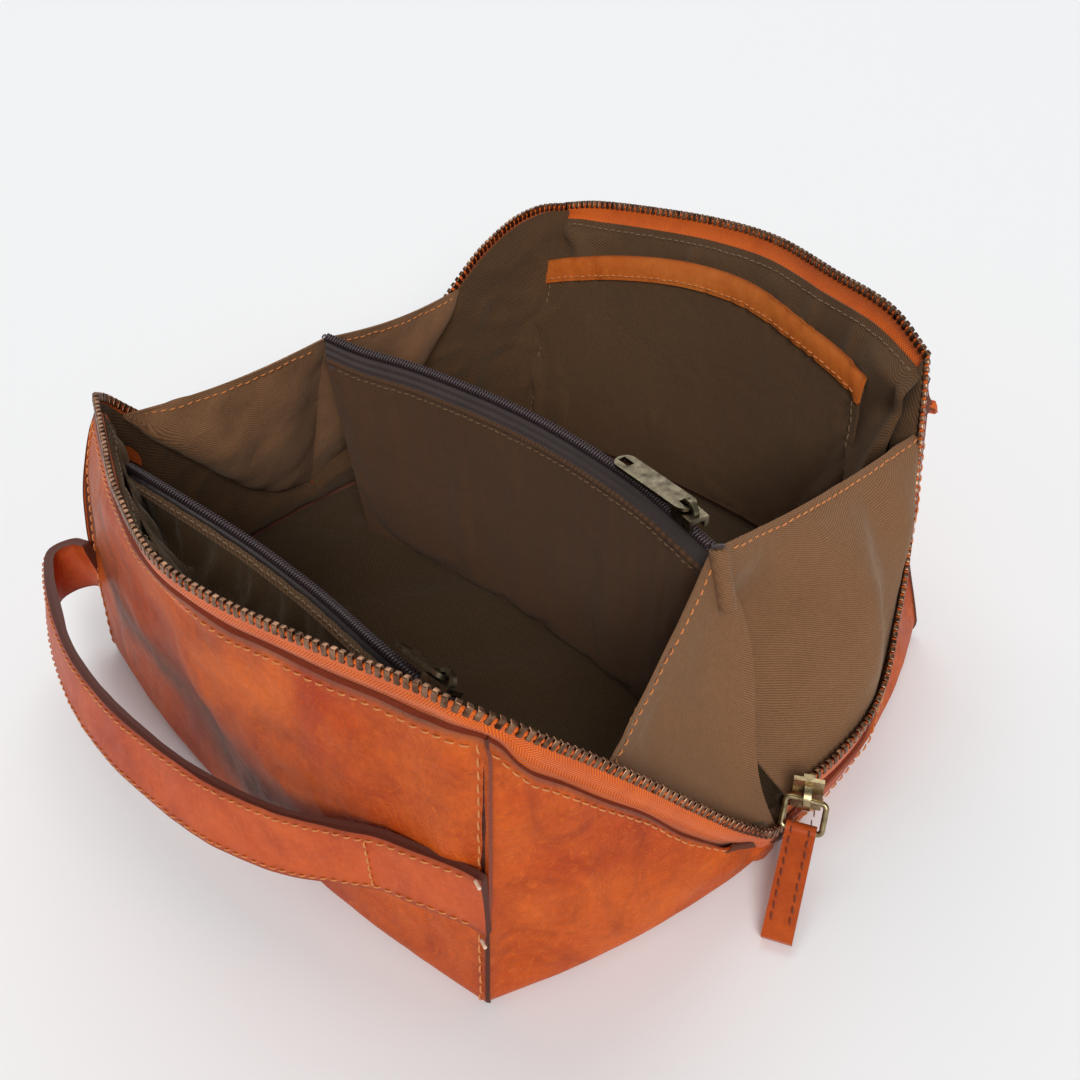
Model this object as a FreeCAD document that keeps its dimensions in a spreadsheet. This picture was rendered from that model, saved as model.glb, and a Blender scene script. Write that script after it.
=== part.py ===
import FreeCAD, Part
import math
import os

import Sketcher
from FreeCAD import Placement, Rotation, Vector

# A leather shaving kit bag that stands wide open on its base.
# X runs along the handle wall, Y runs from the handle wall to the rear wall, Z is up.
# The origin is the centre of the base's underside, on the surface that the bag stands on.

DIMENSIONS = {
    # the opened-out base
    "corner_x": 107.0,
    "corner_y": 110.0,
    "front_bow": 11.0,
    "rear_bow": 13.0,
    "side_bow": 24.5,
    "leather_thick": 1.8,
    "cloth_thick": 0.8,
    "layer_gap": 0.1,
    # the handle wall and the rear wall, from the base to the cut edge of the leather
    "wall_foot_z": 2.4,
    "wall_foot_half": 104.8,
    "front_top_half": 99.5,
    "front_top_y": 98.0,
    "front_top_bow": 24.0,
    "front_top_z": 100.0,
    "rear_top_half": 98.5,
    "rear_top_y": 127.0,
    "rear_top_bow": 20.0,
    "rear_top_z": 104.0,
    # the end of the zip, near the floor at each side
    "zip_end_z": 15.0,
    "front_zip_sag": 4.0,
    "rear_zip_sag": 24.0,
    # the main zip
    "tape_show": 7.5,
    "tape_hidden": 8.0,
    "tooth_pitch": 2.8,
    "tooth_long": 1.3,
    "tooth_tall": 3.4,
    "tooth_thick": 2.4,
    # the zipped divider
    "divider_half": 91.0,
    "divider_bow": 14.0,
    "divider_top_z": 87.0,
    "divider_foot_z": 3.4,
    "divider_gap": 3.0,
    "divider_zip_z": 95.0,
    "coil_wide": 2.6,
    "coil_tall": 2.2,
    "divider_slider_x": 80.0,
    "divider_pull_length": 34.0,
    "pull_thick": 1.2,
    # the pocket on the handle wall
    "pocket_half": 84.0,
    "pocket_zip_y": 93.0,
    "pocket_zip_z": 87.0,
    "pocket_foot_z": 16.0,
    "pocket_slider_x": 76.0,
    "pocket_pull_length": 20.0,
    # the slip pocket on the rear wall
    "slip_centre_x": -13.0,
    "slip_half": 80.0,
    "slip_foot_z": 10.0,
    "slip_side_z": 78.0,
    "slip_rise": 13.0,
    "slip_slope": 5.0,
    "trim_wide": 10.5,
    # the carry handle
    "handle_wide": 23.5,
    "handle_ply": 1.9,
    # the main slider, its ring and its tab
    "slider_wide": 9.0,
    "slider_long": 12.0,
    "ring_wire": 0.9,
    "ring_long": 9.5,
    "ring_half": 6.0,
    "ring_corner": 1.4,
    "tab_fold": 2.2,
    "tab_length": 33.0,
    "tab_wide": 9.0,
    "tab_thick": 3.2,
}

doc = FreeCAD.newDocument("shaving_kit_bag")
dims = doc.addObject("Spreadsheet::Sheet", "dims")
for row, (alias, size) in enumerate(DIMENSIONS.items(), start=1):
    dims.set(f"A{row}", alias)
    dims.set(f"B{row}", str(size))
    dims.setAlias(f"B{row}", alias)
doc.recompute()

SUB_PARTS = []


def dim(alias):
    """A driving dimension, read back from the sheet."""
    return float(dims.get(alias))


def keep(obj, label, placement=None):
    """Names a finished sub-part and lists it for export."""
    obj.Label = label
    obj.Placement = placement or Placement()
    SUB_PARTS.append(obj)
    return obj


def lerp(start, end, share):
    """The point a share of the way from start to end."""
    return start + (end - start) * share


# ---------------------------------------------------------------- sketches and bodies


def origin_plane(body, role):
    """One of a body's own origin planes."""
    return next(item for item in body.Origin.OriginFeatures if item.Role == role)


def new_body(name):
    """An empty PartDesign body."""
    return doc.addObject("PartDesign::Body", name)


def new_sketch(body, name, role="XY_Plane", height=None):
    """A sketch on one of the body's origin planes, raised by a sheet expression."""
    sketch = body.newObject("Sketcher::SketchObject", name)
    sketch.AttachmentSupport = [(origin_plane(body, role), "")]
    sketch.MapMode = "FlatFace"
    if height is not None:
        sketch.setExpression(".AttachmentOffset.Base.z", height)
    return sketch


def bind(sketch, constraint, expression):
    """Adds a sized constraint and binds it to the sheet."""
    index = sketch.addConstraint(constraint)
    sketch.setExpression(f"Constraints[{index}]", expression)
    return index


def arc_through(start, middle, end):
    """An arc through three points, always drawn counter-clockwise by Sketcher."""
    return Part.Arc(Vector(*start, 0), Vector(*middle, 0), Vector(*end, 0))


def strip_sketch(body, name, height, half, line_y, bow, thick):
    """A thin curved strip: two equal arcs, thick apart along Y, closed by two short ends.

    half, line_y, bow and thick are sheet expressions: the strip's half width, the Y of its
    ends, how far its middle stands away from them, and its thickness.
    """
    sketch = new_sketch(body, name, height=height)
    half_mm, line_mm, bow_mm, thick_mm = [evaluate(text) for text in (half, line_y, bow, thick)]
    outer = sketch.addGeometry(
        arc_through((-half_mm, line_mm), (0, line_mm + bow_mm), (half_mm, line_mm))
    )
    inner = sketch.addGeometry(
        arc_through(
            (-half_mm, line_mm + thick_mm),
            (0, line_mm + bow_mm + thick_mm),
            (half_mm, line_mm + thick_mm),
        )
    )
    # An arc's point 1 is its start, counter-clockwise: the right end of a strip that bows
    # towards +Y, and the left end of one that bows towards -Y.
    right, left = (1, 2) if bow_mm > 0 else (2, 1)
    right_end = sketch.addGeometry(
        Part.LineSegment(Vector(half_mm, line_mm, 0), Vector(half_mm, line_mm + thick_mm, 0))
    )
    left_end = sketch.addGeometry(
        Part.LineSegment(Vector(-half_mm, line_mm, 0), Vector(-half_mm, line_mm + thick_mm, 0))
    )
    for line, side in ((right_end, right), (left_end, left)):
        sketch.addConstraint(Sketcher.Constraint("Coincident", line, 1, outer, side))
        sketch.addConstraint(Sketcher.Constraint("Coincident", line, 2, inner, side))
        sketch.addConstraint(Sketcher.Constraint("Vertical", line))
    sketch.addConstraint(Sketcher.Constraint("Equal", outer, inner))
    radius = f"(({half})^2 + ({bow})^2) / (2 * abs({bow}))"
    bind(sketch, Sketcher.Constraint("Radius", outer, evaluate(radius)), radius)
    bind(sketch, Sketcher.Constraint("DistanceX", -1, 1, outer, right, half_mm), half)
    bind(sketch, Sketcher.Constraint("DistanceX", outer, left, -1, 1, half_mm), half)
    if line_mm >= 0:
        bind(sketch, Sketcher.Constraint("DistanceY", -1, 1, outer, right, line_mm), line_y)
    else:
        bind(
            sketch,
            Sketcher.Constraint("DistanceY", outer, right, -1, 1, -line_mm),
            f"-({line_y})",
        )
    sketch.addConstraint(Sketcher.Constraint("Horizontal", outer, 1, outer, 2))
    bind(sketch, Sketcher.Constraint("DistanceY", right_end, 1, right_end, 2, thick_mm), thick)
    return sketch


def evaluate(expression):
    """The value that a sheet expression has now."""
    return float(dims.evalExpression(expression.replace("dims.", "")))


def strip_pad(label, foot, top, half, line_y, bow, thick):
    """An upright curved strip of constant section."""
    body = new_body(label)
    sketch = strip_sketch(body, f"{label}_section", foot, half, line_y, bow, thick)
    pad = body.newObject("PartDesign::Pad", f"{label}_pad")
    pad.Profile = sketch
    pad.setExpression("Length", f"({top}) - ({foot})")
    return keep(body, label)


def strip_loft(label, low, high):
    """A leaning curved strip between a low and a high section.

    low and high are (height, half, line_y, bow, thick) as sheet expressions.
    """
    body = new_body(label)
    low_sketch = strip_sketch(body, f"{label}_low", *low)
    high_sketch = strip_sketch(body, f"{label}_high", *high)
    loft = body.newObject("PartDesign::AdditiveLoft", f"{label}_loft")
    loft.Profile = low_sketch
    loft.Sections = [high_sketch]
    loft.Ruled = True
    return keep(body, label)


def rectangle(sketch, wide, long, centre_x=0.0, centre_y=0.0):
    """A rectangle about a centre, its sizes bound to the sheet."""
    wide_mm, long_mm = evaluate(wide), evaluate(long)
    left, right = centre_x - wide_mm / 2, centre_x + wide_mm / 2
    low, high = centre_y - long_mm / 2, centre_y + long_mm / 2
    corners = [Vector(left, low), Vector(right, low), Vector(right, high), Vector(left, high)]
    lines = [
        sketch.addGeometry(Part.LineSegment(corners[i], corners[(i + 1) % 4])) for i in range(4)
    ]
    for i in range(4):
        sketch.addConstraint(Sketcher.Constraint("Coincident", lines[i], 2, lines[(i + 1) % 4], 1))
    for i in (0, 2):
        sketch.addConstraint(Sketcher.Constraint("Horizontal", lines[i]))
        sketch.addConstraint(Sketcher.Constraint("Vertical", lines[i + 1]))
    bind(sketch, Sketcher.Constraint("DistanceX", lines[0], 1, lines[0], 2, wide_mm), wide)
    bind(sketch, Sketcher.Constraint("DistanceY", lines[1], 1, lines[1], 2, long_mm), long)
    return lines


def pad_of(body, sketch, length):
    """A pad of a sketch, its length bound to the sheet."""
    pad = body.newObject("PartDesign::Pad", f"{sketch.Name}_pad")
    pad.Profile = sketch
    pad.setExpression("Length", length)
    return pad


# ---------------------------------------------------------------- free-form soft pieces


def section_wire(corners):
    """A closed wire round one cross-section of a soft strip."""
    return Part.makePolygon(list(corners) + [corners[0]])


def ribbon(label, lows, highs, inward, ruled=True):
    """A strip of leather or cloth: the solid through the cross-sections between two edges.

    lows and highs are matching points along its two edges, and inward gives its thickness
    as one vector for every section, or as one for each.
    """
    offsets = inward if isinstance(inward, list) else [inward] * len(lows)
    wires = [
        section_wire([low, high, high + offset, low + offset])
        for low, high, offset in zip(lows, highs, offsets)
    ]
    feature = doc.addObject("Part::Feature", label)
    feature.Shape = Part.makeLoft(wires, True, ruled)
    return keep(feature, label)


# ---------------------------------------------------------------- the base


def base_outline(body, name, height, inset):
    """Four arcs between the base's corners: the handle edge, the rear edge and the two sides."""
    sketch = new_sketch(body, name, height=height)
    inset_mm = evaluate(inset)
    across = dim("corner_x") - inset_mm
    deep = dim("corner_y") - inset_mm
    bows = [("front_bow", (0, -1)), ("side_bow", (1, 0)), ("rear_bow", (0, 1)), ("side_bow", (-1, 0))]
    corners = [(-across, -deep), (across, -deep), (across, deep), (-across, deep)]
    arcs = []
    for i, (alias, (out_x, out_y)) in enumerate(bows):
        start, end = corners[i], corners[(i + 1) % 4]
        middle = (
            (start[0] + end[0]) / 2 + out_x * dim(alias),
            (start[1] + end[1]) / 2 + out_y * dim(alias),
        )
        arcs.append(sketch.addGeometry(arc_through(start, middle, end)))
    for i in range(4):
        sketch.addConstraint(Sketcher.Constraint("Coincident", arcs[i], 2, arcs[(i + 1) % 4], 1))
    wide = f"2 * (dims.corner_x - ({inset}))"
    deep_text = f"2 * (dims.corner_y - ({inset}))"
    for arc, chord, alias in (
        (arcs[0], wide, "front_bow"),
        (arcs[1], deep_text, "side_bow"),
        (arcs[2], wide, "rear_bow"),
        (arcs[3], deep_text, "side_bow"),
    ):
        radius = f"(({chord})^2 / 4 + dims.{alias}^2) / (2 * dims.{alias})"
        bind(sketch, Sketcher.Constraint("Radius", arc, evaluate(radius)), radius)
    for arc in (arcs[0], arcs[2]):
        sketch.addConstraint(Sketcher.Constraint("Horizontal", arc, 1, arc, 2))
    sketch.addConstraint(Sketcher.Constraint("Vertical", arcs[1], 1, arcs[1], 2))
    right_x = f"dims.corner_x - ({inset})"
    low_y = f"dims.corner_y - ({inset})"
    bind(sketch, Sketcher.Constraint("DistanceX", -1, 1, arcs[0], 2, across), right_x)
    bind(sketch, Sketcher.Constraint("DistanceX", arcs[0], 1, -1, 1, across), right_x)
    bind(sketch, Sketcher.Constraint("DistanceY", arcs[0], 2, -1, 1, deep), low_y)
    bind(sketch, Sketcher.Constraint("DistanceY", -1, 1, arcs[2], 1, deep), low_y)
    return sketch


def base_panel(label, foot, thick, inset):
    """A flat panel with the base's outline."""
    body = new_body(label)
    sketch = base_outline(body, f"{label}_outline", foot, inset)
    pad_of(body, sketch, thick)
    return keep(body, label)


# ---------------------------------------------------------------- curves of the open bag

SIDES = {"right": 1, "left": -1}
SIDE_STEPS = 10


def mirrored(point, side):
    """A point given for the right side, on the side that is asked for."""
    return Vector(point.x * side, point.y, point.z)


def side_foot(place, side):
    """The side panel's lower edge. place runs from -1 at the handle wall to 1 at the rear."""
    bow = dim("side_bow") * (1 - place**2)
    point = Vector(dim("corner_x") + bow, dim("corner_y") * place, dim("leather_thick"))
    return mirrored(point, side)


def zip_edge(place, side):
    """The side panel's cut upper edge, beside the zip, from wall top to zip end to wall top."""
    end = Vector(dim("corner_x") + dim("side_bow"), 0, dim("zip_end_z"))
    if place <= 0:
        top = Vector(dim("front_top_half") + 2.3, -dim("front_top_y"), dim("front_top_z"))
        sag = Vector(4, -4, -dim("front_zip_sag"))
    else:
        top = Vector(dim("rear_top_half") + 2.3, dim("rear_top_y"), dim("rear_top_z"))
        sag = Vector(3, 8, -dim("rear_zip_sag"))
    share = abs(place)
    point = lerp(end, top, share) + sag * (4 * share * (1 - share))
    return mirrored(point, side)


def side_rise(place, side):
    """The direction up the side panel, from its lower edge to its zip."""
    return (zip_edge(place, side) - side_foot(place, side)).normalize()


def side_up(place, side):
    """The direction in the side panel's surface, square to its cut edge, that points past it."""
    step = 0.01 if place < 0 else -0.01
    along = (zip_edge(place + step, side) - zip_edge(place, side)).normalize()
    rise = side_rise(place, side)
    return (rise - along * rise.dot(along)).normalize()


def side_places(first=-1.0, last=1.0, steps=2 * SIDE_STEPS):
    """Evenly spaced places along a side panel."""
    return [first + (last - first) * i / steps for i in range(steps + 1)]


def wall_top(place, wall):
    """The cut top edge of the handle wall or the rear wall, from -1 at the left to 1."""
    half = dim(f"{wall}_top_half")
    facing = -1 if wall == "front" else 1
    bow = dim(f"{wall}_top_bow")
    radius = (half**2 + bow**2) / (2 * bow)
    x = half * place
    rise = bow - radius + math.sqrt(radius**2 - x**2)
    return Vector(x, facing * (dim(f"{wall}_top_y") + rise), dim(f"{wall}_top_z"))


# ---------------------------------------------------------------- walls and linings


def wall_section(wall, height, layer, thick, trim="0"):
    """One level section of a wall's strip, on the slope from the wall's foot to its cut edge.

    layer is how far the strip lies inside the wall's outer face, and trim how much shorter
    it is at each end.
    """
    sign = "-" if wall == "front" else ""
    inward = "+" if wall == "front" else "-"
    share = f"((({height}) - dims.wall_foot_z) / (dims.{wall}_top_z - dims.wall_foot_z))"
    half = f"dims.wall_foot_half + (dims.{wall}_top_half - dims.wall_foot_half) * {share} - {trim}"
    line = f"{sign}(dims.corner_y + (dims.{wall}_top_y - dims.corner_y) * {share}) {inward} ({layer})"
    bow = f"{sign}(dims.{wall}_bow + (dims.{wall}_top_bow - dims.{wall}_bow) * {share})"
    if wall == "rear":
        line = f"{line} - ({thick})"
    return (height, half, line, bow, thick)


LEATHER = "dims.leather_thick"
CLOTH = "dims.cloth_thick"
TAPE_LAYER = "dims.leather_thick + dims.layer_gap"
LINING_LAYER = "dims.leather_thick + dims.cloth_thick + 2 * dims.layer_gap"


def build_wall(wall):
    """The leather, the main zip's tape and the lining of one long wall."""
    foot = "dims.wall_foot_z"
    top = f"dims.{wall}_top_z"
    strip_loft(
        f"{wall}_wall_leather",
        wall_section(wall, foot, "0", LEATHER),
        wall_section(wall, top, "0", LEATHER),
    )
    strip_loft(
        f"{wall}_zip_tape",
        wall_section(wall, f"{top} - dims.tape_hidden", TAPE_LAYER, CLOTH, "2.2"),
        wall_section(wall, f"{top} + dims.tape_show", TAPE_LAYER, CLOTH, "2.2"),
    )
    strip_loft(
        f"{wall}_wall_lining",
        wall_section(wall, f"{foot} + 1.6", LINING_LAYER, CLOTH, "3.4"),
        wall_section(wall, f"{top} - 1", LINING_LAYER, CLOTH, "3.4"),
    )


def build_side(side_name):
    """The leather side panel, its lining and the main zip's tape round the zip end."""
    side = SIDES[side_name]
    inward = Vector(-side, 0, 0)
    places = side_places()
    ribbon(
        f"side_panel_{side_name}",
        [side_foot(p, side) for p in places],
        [zip_edge(p, side) for p in places],
        inward * dim("leather_thick"),
    )
    tape_inset = inward * (dim("leather_thick") + 3 * dim("layer_gap"))
    inner = side_places(-0.94, 0.94)
    for half_name, span in (("front", (-0.95, -0.09)), ("rear", (0.09, 0.93))):
        run = side_places(*span, steps=SIDE_STEPS)
        ribbon(
            f"{half_name}_zip_tape_{side_name}",
            [zip_edge(p, side) - side_up(p, side) * 4 + tape_inset for p in run],
            [zip_edge(p, side) + side_up(p, side) * dim("tape_show") + tape_inset for p in run],
            inward * dim("cloth_thick"),
        )
    lining_inset = inward * (dim("leather_thick") + dim("cloth_thick") + 6 * dim("layer_gap"))
    ribbon(
        f"side_lining_{side_name}",
        [side_foot(p, side) + lining_inset + Vector(0, 0, 2) for p in inner],
        [zip_edge(p, side) - side_rise(p, side) + lining_inset for p in inner],
        inward * dim("cloth_thick"),
    )


# ---------------------------------------------------------------- corner seams

SEAM_WIDE = 4.6
SEAM_THICK = 3.6


def build_corner_seam(wall, side_name):
    """The two leathers' edges, turned out at a corner and sewn: a ridge from foot to zip."""
    side = SIDES[side_name]
    facing = -1 if wall == "front" else 1
    place = facing
    foot = side_foot(place, side)
    top = zip_edge(place, side)
    across = Vector(side * 0.83, facing * 0.56, 0)
    along = Vector(-side * 0.56, facing * 0.83, 0)
    start = Vector(side * 0.6, facing * 0.3, 0)
    lows, highs = [], []
    for share in (0.0, 0.5, 1.0):
        middle = lerp(foot, top, share) + start
        lows.append(middle - along * (SEAM_THICK * 0.1))
        highs.append(middle - along * (SEAM_THICK * 0.1) + across * SEAM_WIDE)
    ribbon(f"corner_seam_{wall}_{side_name}", lows, highs, along * SEAM_THICK)


# ---------------------------------------------------------------- gussets

GUSSET_FRONT_PLACE = -0.74
GUSSET_REAR_PLACE = 0.86


def build_gusset(side_name):
    """The inner cloth that closes the side: from the zip's two edges to the divider's end."""
    side = SIDES[side_name]
    inset = Vector(-side * 4.2, 0, 0)
    divider_end = mirrored(Vector(dim("divider_half") + 2.5, 0, dim("divider_top_z") + 4), side)
    spans = (("front", GUSSET_FRONT_PLACE), ("rear", GUSSET_REAR_PLACE))
    steps = 6
    lows, highs = [], []
    for name, edge_place in spans:
        shares = [i / steps for i in range(steps + 1)]
        if name == "rear":
            shares = list(reversed(shares))[1:]
        corner = zip_edge(edge_place, side) + inset
        for share in shares:
            place = edge_place * (1 - share)
            low = zip_edge(place, side) + inset + Vector(0, 0, 1.0 - 3.0 * (1 - share))
            lows.append(low)
            highs.append(lerp(corner, divider_end, share))
    ribbon(f"gusset_{side_name}", lows, highs, Vector(-side * dim("cloth_thick"), 0, 0))


# ---------------------------------------------------------------- the zipped divider


def build_divider():
    """Two cloth sheets with a coil zip along the top: a flat pocket across the bag."""
    half = "dims.divider_half"
    bow = "dims.divider_bow"
    foot = "dims.divider_foot_z"
    top = "dims.divider_top_z"
    strip_pad("divider_front_sheet", foot, top, half, "-dims.divider_gap / 2 - dims.cloth_thick", bow, CLOTH)
    strip_pad("divider_rear_sheet", foot, top, half, "dims.divider_gap / 2", bow, CLOTH)
    low = "dims.divider_top_z + 0.05"
    high = "dims.divider_zip_z"
    strip_loft(
        "divider_zip_tape_front",
        (low, half, "-dims.divider_gap / 2 - dims.cloth_thick", bow, CLOTH),
        (high, half, "-0.1 - dims.cloth_thick", bow, CLOTH),
    )
    strip_loft(
        "divider_zip_tape_rear",
        (low, half, "dims.divider_gap / 2", bow, CLOTH),
        (high, half, "0.1", bow, CLOTH),
    )
    strip_pad(
        "divider_zip_coil",
        "dims.divider_zip_z + 0.05",
        "dims.divider_zip_z + 0.05 + dims.coil_tall",
        "dims.divider_half - 4",
        "-dims.coil_wide / 2",
        "dims.divider_bow - 1",
        "dims.coil_wide",
    )


def divider_radius():
    """The radius of the divider's zip, seen from above."""
    half, bow = dim("divider_half") - 4, dim("divider_bow") - 1
    return (half**2 + bow**2) / (2 * bow)


def on_divider(x, height):
    """A placement on the divider's zip at x, turned along it, at a height."""
    radius = divider_radius()
    y = math.sqrt(radius**2 - x**2) - (radius - dim("divider_bow") + 1)
    angle = math.degrees(math.asin(-x / radius))
    return Placement(Vector(x, y, height), Rotation(angle, 0, 0))


# ---------------------------------------------------------------- sliders and pulls


def build_coil_slider(label, placement):
    """A coil zip's slider: a plate over the coil with a wing down each side, and its crown."""
    body = new_body(label)
    plate = new_sketch(body, f"{label}_plate", height="dims.coil_tall + 0.45")
    rectangle(plate, "9.5", "6.8")
    pad_of(body, plate, "1.3")
    for name, centre in (("near", -2.7), ("far", 2.7)):
        wing = new_sketch(body, f"{label}_wing_{name}", height="0.35")
        rectangle(wing, "9.5", "1.4", 0, centre)
        pad_of(body, wing, "dims.coil_tall + 0.6")
    crown = new_sketch(body, f"{label}_crown", "XZ_Plane")
    seat = evaluate("dims.coil_tall + 1.7")
    crown.addGeometry(arc_through((3.5, seat), (0, seat + 3.8), (-3.5, seat)))
    crown.addGeometry(Part.LineSegment(Vector(-3.5, seat, 0), Vector(-2.3, seat, 0)))
    crown.addGeometry(arc_through((2.3, seat), (0, seat + 2.6), (-2.3, seat)))
    crown.addGeometry(Part.LineSegment(Vector(2.3, seat, 0), Vector(3.5, seat, 0)))
    bridge = body.newObject("PartDesign::Pad", f"{label}_bridge")
    bridge.Profile = crown
    bridge.Length = 1.8
    bridge.Midplane = True
    return keep(body, label, placement)


def build_pull(label, length, wide, placement):
    """A flat rounded pull along -X: a bar under the crown, a slot for it and a hole at the tip."""
    body = new_body(label)
    plan = new_sketch(body, f"{label}_plan")
    half = evaluate(wide) / 2
    long = evaluate(length)
    head, tip = -2.6, half - long
    plan.addGeometry(Part.LineSegment(Vector(head, -half, 0), Vector(tip, -half, 0)))
    plan.addGeometry(arc_through((tip, half), (-long, 0), (tip, -half)))
    plan.addGeometry(Part.LineSegment(Vector(tip, half, 0), Vector(head, half, 0)))
    plan.addGeometry(arc_through((head, -half), (0.9, 0), (head, half)))
    joins = ((0, 2, 1, 2), (1, 1, 2, 1), (2, 2, 3, 2), (3, 1, 0, 1))
    for first, first_end, second, second_end in joins:
        plan.addConstraint(Sketcher.Constraint("Coincident", first, first_end, second, second_end))
    pad_of(body, plan, "dims.pull_thick")
    doc.recompute()
    for name, centre, slot_long, slot_wide in (
        ("crown_slot", -2.4, 3.0, 2.6),
        ("tip_hole", tip, 5.0, 2.6),
    ):
        sketch = new_sketch(body, f"{label}_{name}")
        rectangle(sketch, str(slot_long), str(slot_wide), centre, 0)
        pocket = body.newObject("PartDesign::Pocket", f"{label}_{name}_cut")
        pocket.Profile = sketch
        pocket.Type = 1
        pocket.Reversed = True
        doc.recompute()
    return keep(body, label, placement)


PULL_LIFT = 2.35
# The divider's pull lies a little across its zip, with its tip down.
PULL_SKEW = Rotation(6.0, -0.6, 0)


def build_divider_zip():
    """The divider's slider, and its pull lying along the zip."""
    x = dim("divider_slider_x")
    height = dim("divider_zip_z") + 0.05
    build_coil_slider("divider_slider", on_divider(x, height))
    seat = height + dim("coil_tall") + PULL_LIFT
    place = on_divider(x, seat) * Placement(Vector(), PULL_SKEW)
    build_pull("divider_pull", "dims.divider_pull_length", "7.4", place)


# ---------------------------------------------------------------- the handle wall's pocket


def lining_face(x, height, wall, extra=0.0):
    """A point on the inner face of a wall's lining, and extra further into the bag."""
    share = (height - dim("wall_foot_z")) / (dim(f"{wall}_top_z") - dim("wall_foot_z"))
    half = dim("wall_foot_half") + (dim(f"{wall}_top_half") - dim("wall_foot_half")) * share
    bow = dim(f"{wall}_bow") + (dim(f"{wall}_top_bow") - dim(f"{wall}_bow")) * share
    line = dim("corner_y") + (dim(f"{wall}_top_y") - dim("corner_y")) * share
    radius = (half**2 + bow**2) / (2 * bow)
    rise = bow - radius + math.sqrt(radius**2 - x**2)
    layers = dim("leather_thick") + 2 * dim("cloth_thick") + 2 * dim("layer_gap") + 0.5
    facing = -1 if wall == "front" else 1
    return Vector(x, facing * (line + rise - layers - extra), height)


def spread(half, steps=12):
    """Evenly spaced X positions from -half to half."""
    return [half * (2 * i / steps - 1) for i in range(steps + 1)]


def build_front_pocket():
    """A cloth pocket on the handle wall's lining, its mouth closed by a straight coil zip."""
    xs = spread(dim("pocket_half"))
    zip_y = -dim("pocket_zip_y")
    zip_z = dim("pocket_zip_z")
    cloth = Vector(0, dim("cloth_thick"), 0)
    ribbon(
        "front_pocket_panel",
        [lining_face(x, dim("pocket_foot_z"), "front") for x in xs],
        [Vector(x, zip_y, zip_z - 5) for x in xs],
        cloth,
    )
    ribbon(
        "front_pocket_top_flap",
        [Vector(x, zip_y - 6.2, zip_z + 2.4) for x in xs],
        [lining_face(x, dim("front_top_z") - 4, "front", 0.9) for x in xs],
        Vector(0, 0, dim("cloth_thick")),
    )
    lie = Vector(0, dim("cloth_thick") * 0.7, dim("cloth_thick") * 0.7)
    ends = [Vector(x, zip_y, zip_z) for x in (-dim("pocket_half") - 2, dim("pocket_half") + 2)]
    ribbon(
        "front_pocket_zip_tape_lower",
        [end + Vector(0, 1.9, -9) for end in ends],
        [end + Vector(0, 0.6, -0.6) for end in ends],
        lie,
    )
    ribbon(
        "front_pocket_zip_tape_upper",
        [end + Vector(0, -6, 1.6) for end in ends],
        [end + Vector(0, -0.8, 0.1) for end in ends],
        lie,
    )


POCKET_ZIP_TILT = -45.0


def on_pocket_zip(x, out):
    """A placement on the pocket's zip at x, facing up and into the bag, out along that way."""
    turn = Rotation(Vector(1, 0, 0), POCKET_ZIP_TILT)
    base = Vector(x, -dim("pocket_zip_y") + 0.3, dim("pocket_zip_z") + 0.7)
    return Placement(base + turn.multVec(Vector(0, 0, out)), turn)


def build_pocket_zip():
    """The pocket's coil, slider and pull."""
    body = new_body("front_pocket_zip_coil")
    sketch = new_sketch(body, "front_pocket_zip_coil_plan")
    rectangle(sketch, "2 * dims.pocket_half", "dims.coil_wide")
    pad_of(body, sketch, "dims.coil_tall")
    keep(body, "front_pocket_zip_coil", on_pocket_zip(0, 0.3))
    x = dim("pocket_slider_x")
    build_coil_slider("front_pocket_slider", on_pocket_zip(x, 0.3))
    seat = dim("coil_tall") + PULL_LIFT + 0.3
    build_pull("front_pocket_pull", "dims.pocket_pull_length", "6.4", on_pocket_zip(x, seat))


# ---------------------------------------------------------------- the rear wall's slip pocket


def slip_share(x):
    """How far x is along the slip pocket, from -1 to 1."""
    return (x - dim("slip_centre_x")) / dim("slip_half")


def slip_mouth(x):
    """The height of the slip pocket's mouth, which arches up in the middle."""
    share = slip_share(x)
    return dim("slip_side_z") + dim("slip_rise") * (1 - share**2) + dim("slip_slope") * share


def build_slip_pocket():
    """An open cloth pocket on the rear wall's lining, with a leather band along its mouth."""
    xs = [dim("slip_centre_x") + x for x in spread(dim("slip_half"))]
    swell = [1.0 + 2.4 * (1 - slip_share(x) ** 2) for x in xs]
    cloth = Vector(0, -dim("cloth_thick"), 0)
    ribbon(
        "slip_pocket_panel",
        [lining_face(x, dim("slip_foot_z"), "rear", 0.8) for x in xs],
        [lining_face(x, slip_mouth(x), "rear", s) for x, s in zip(xs, swell)],
        cloth,
    )
    band = dim("trim_wide")
    skip = dim("cloth_thick") + 0.5
    ribbon(
        "slip_pocket_trim",
        [lining_face(x, slip_mouth(x) - band / 2, "rear", s + skip) for x, s in zip(xs, swell)],
        [lining_face(x, slip_mouth(x) + band / 2, "rear", s + skip) for x, s in zip(xs, swell)],
        Vector(0, -1.2, 0),
    )


# ---------------------------------------------------------------- main zip teeth and stops


def tooth(middle, along, up):
    """One metal tooth, centred on middle."""
    along = Vector(along).normalize()
    up = Vector(up).normalize()
    across = along.cross(up).normalize()
    up = across.cross(along).normalize()
    size = Vector(dim("tooth_long"), dim("tooth_thick"), dim("tooth_tall"))
    box = Part.makeBox(size.x, size.y, size.z, Vector(-size.x / 2, -size.y / 2, -size.z / 2))
    turn = FreeCAD.Matrix(
        along.x, across.x, up.x, middle.x,
        along.y, across.y, up.y, middle.y,
        along.z, across.z, up.z, middle.z,
        0, 0, 0, 1,
    )
    box.Placement = Placement(turn)
    return box


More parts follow.
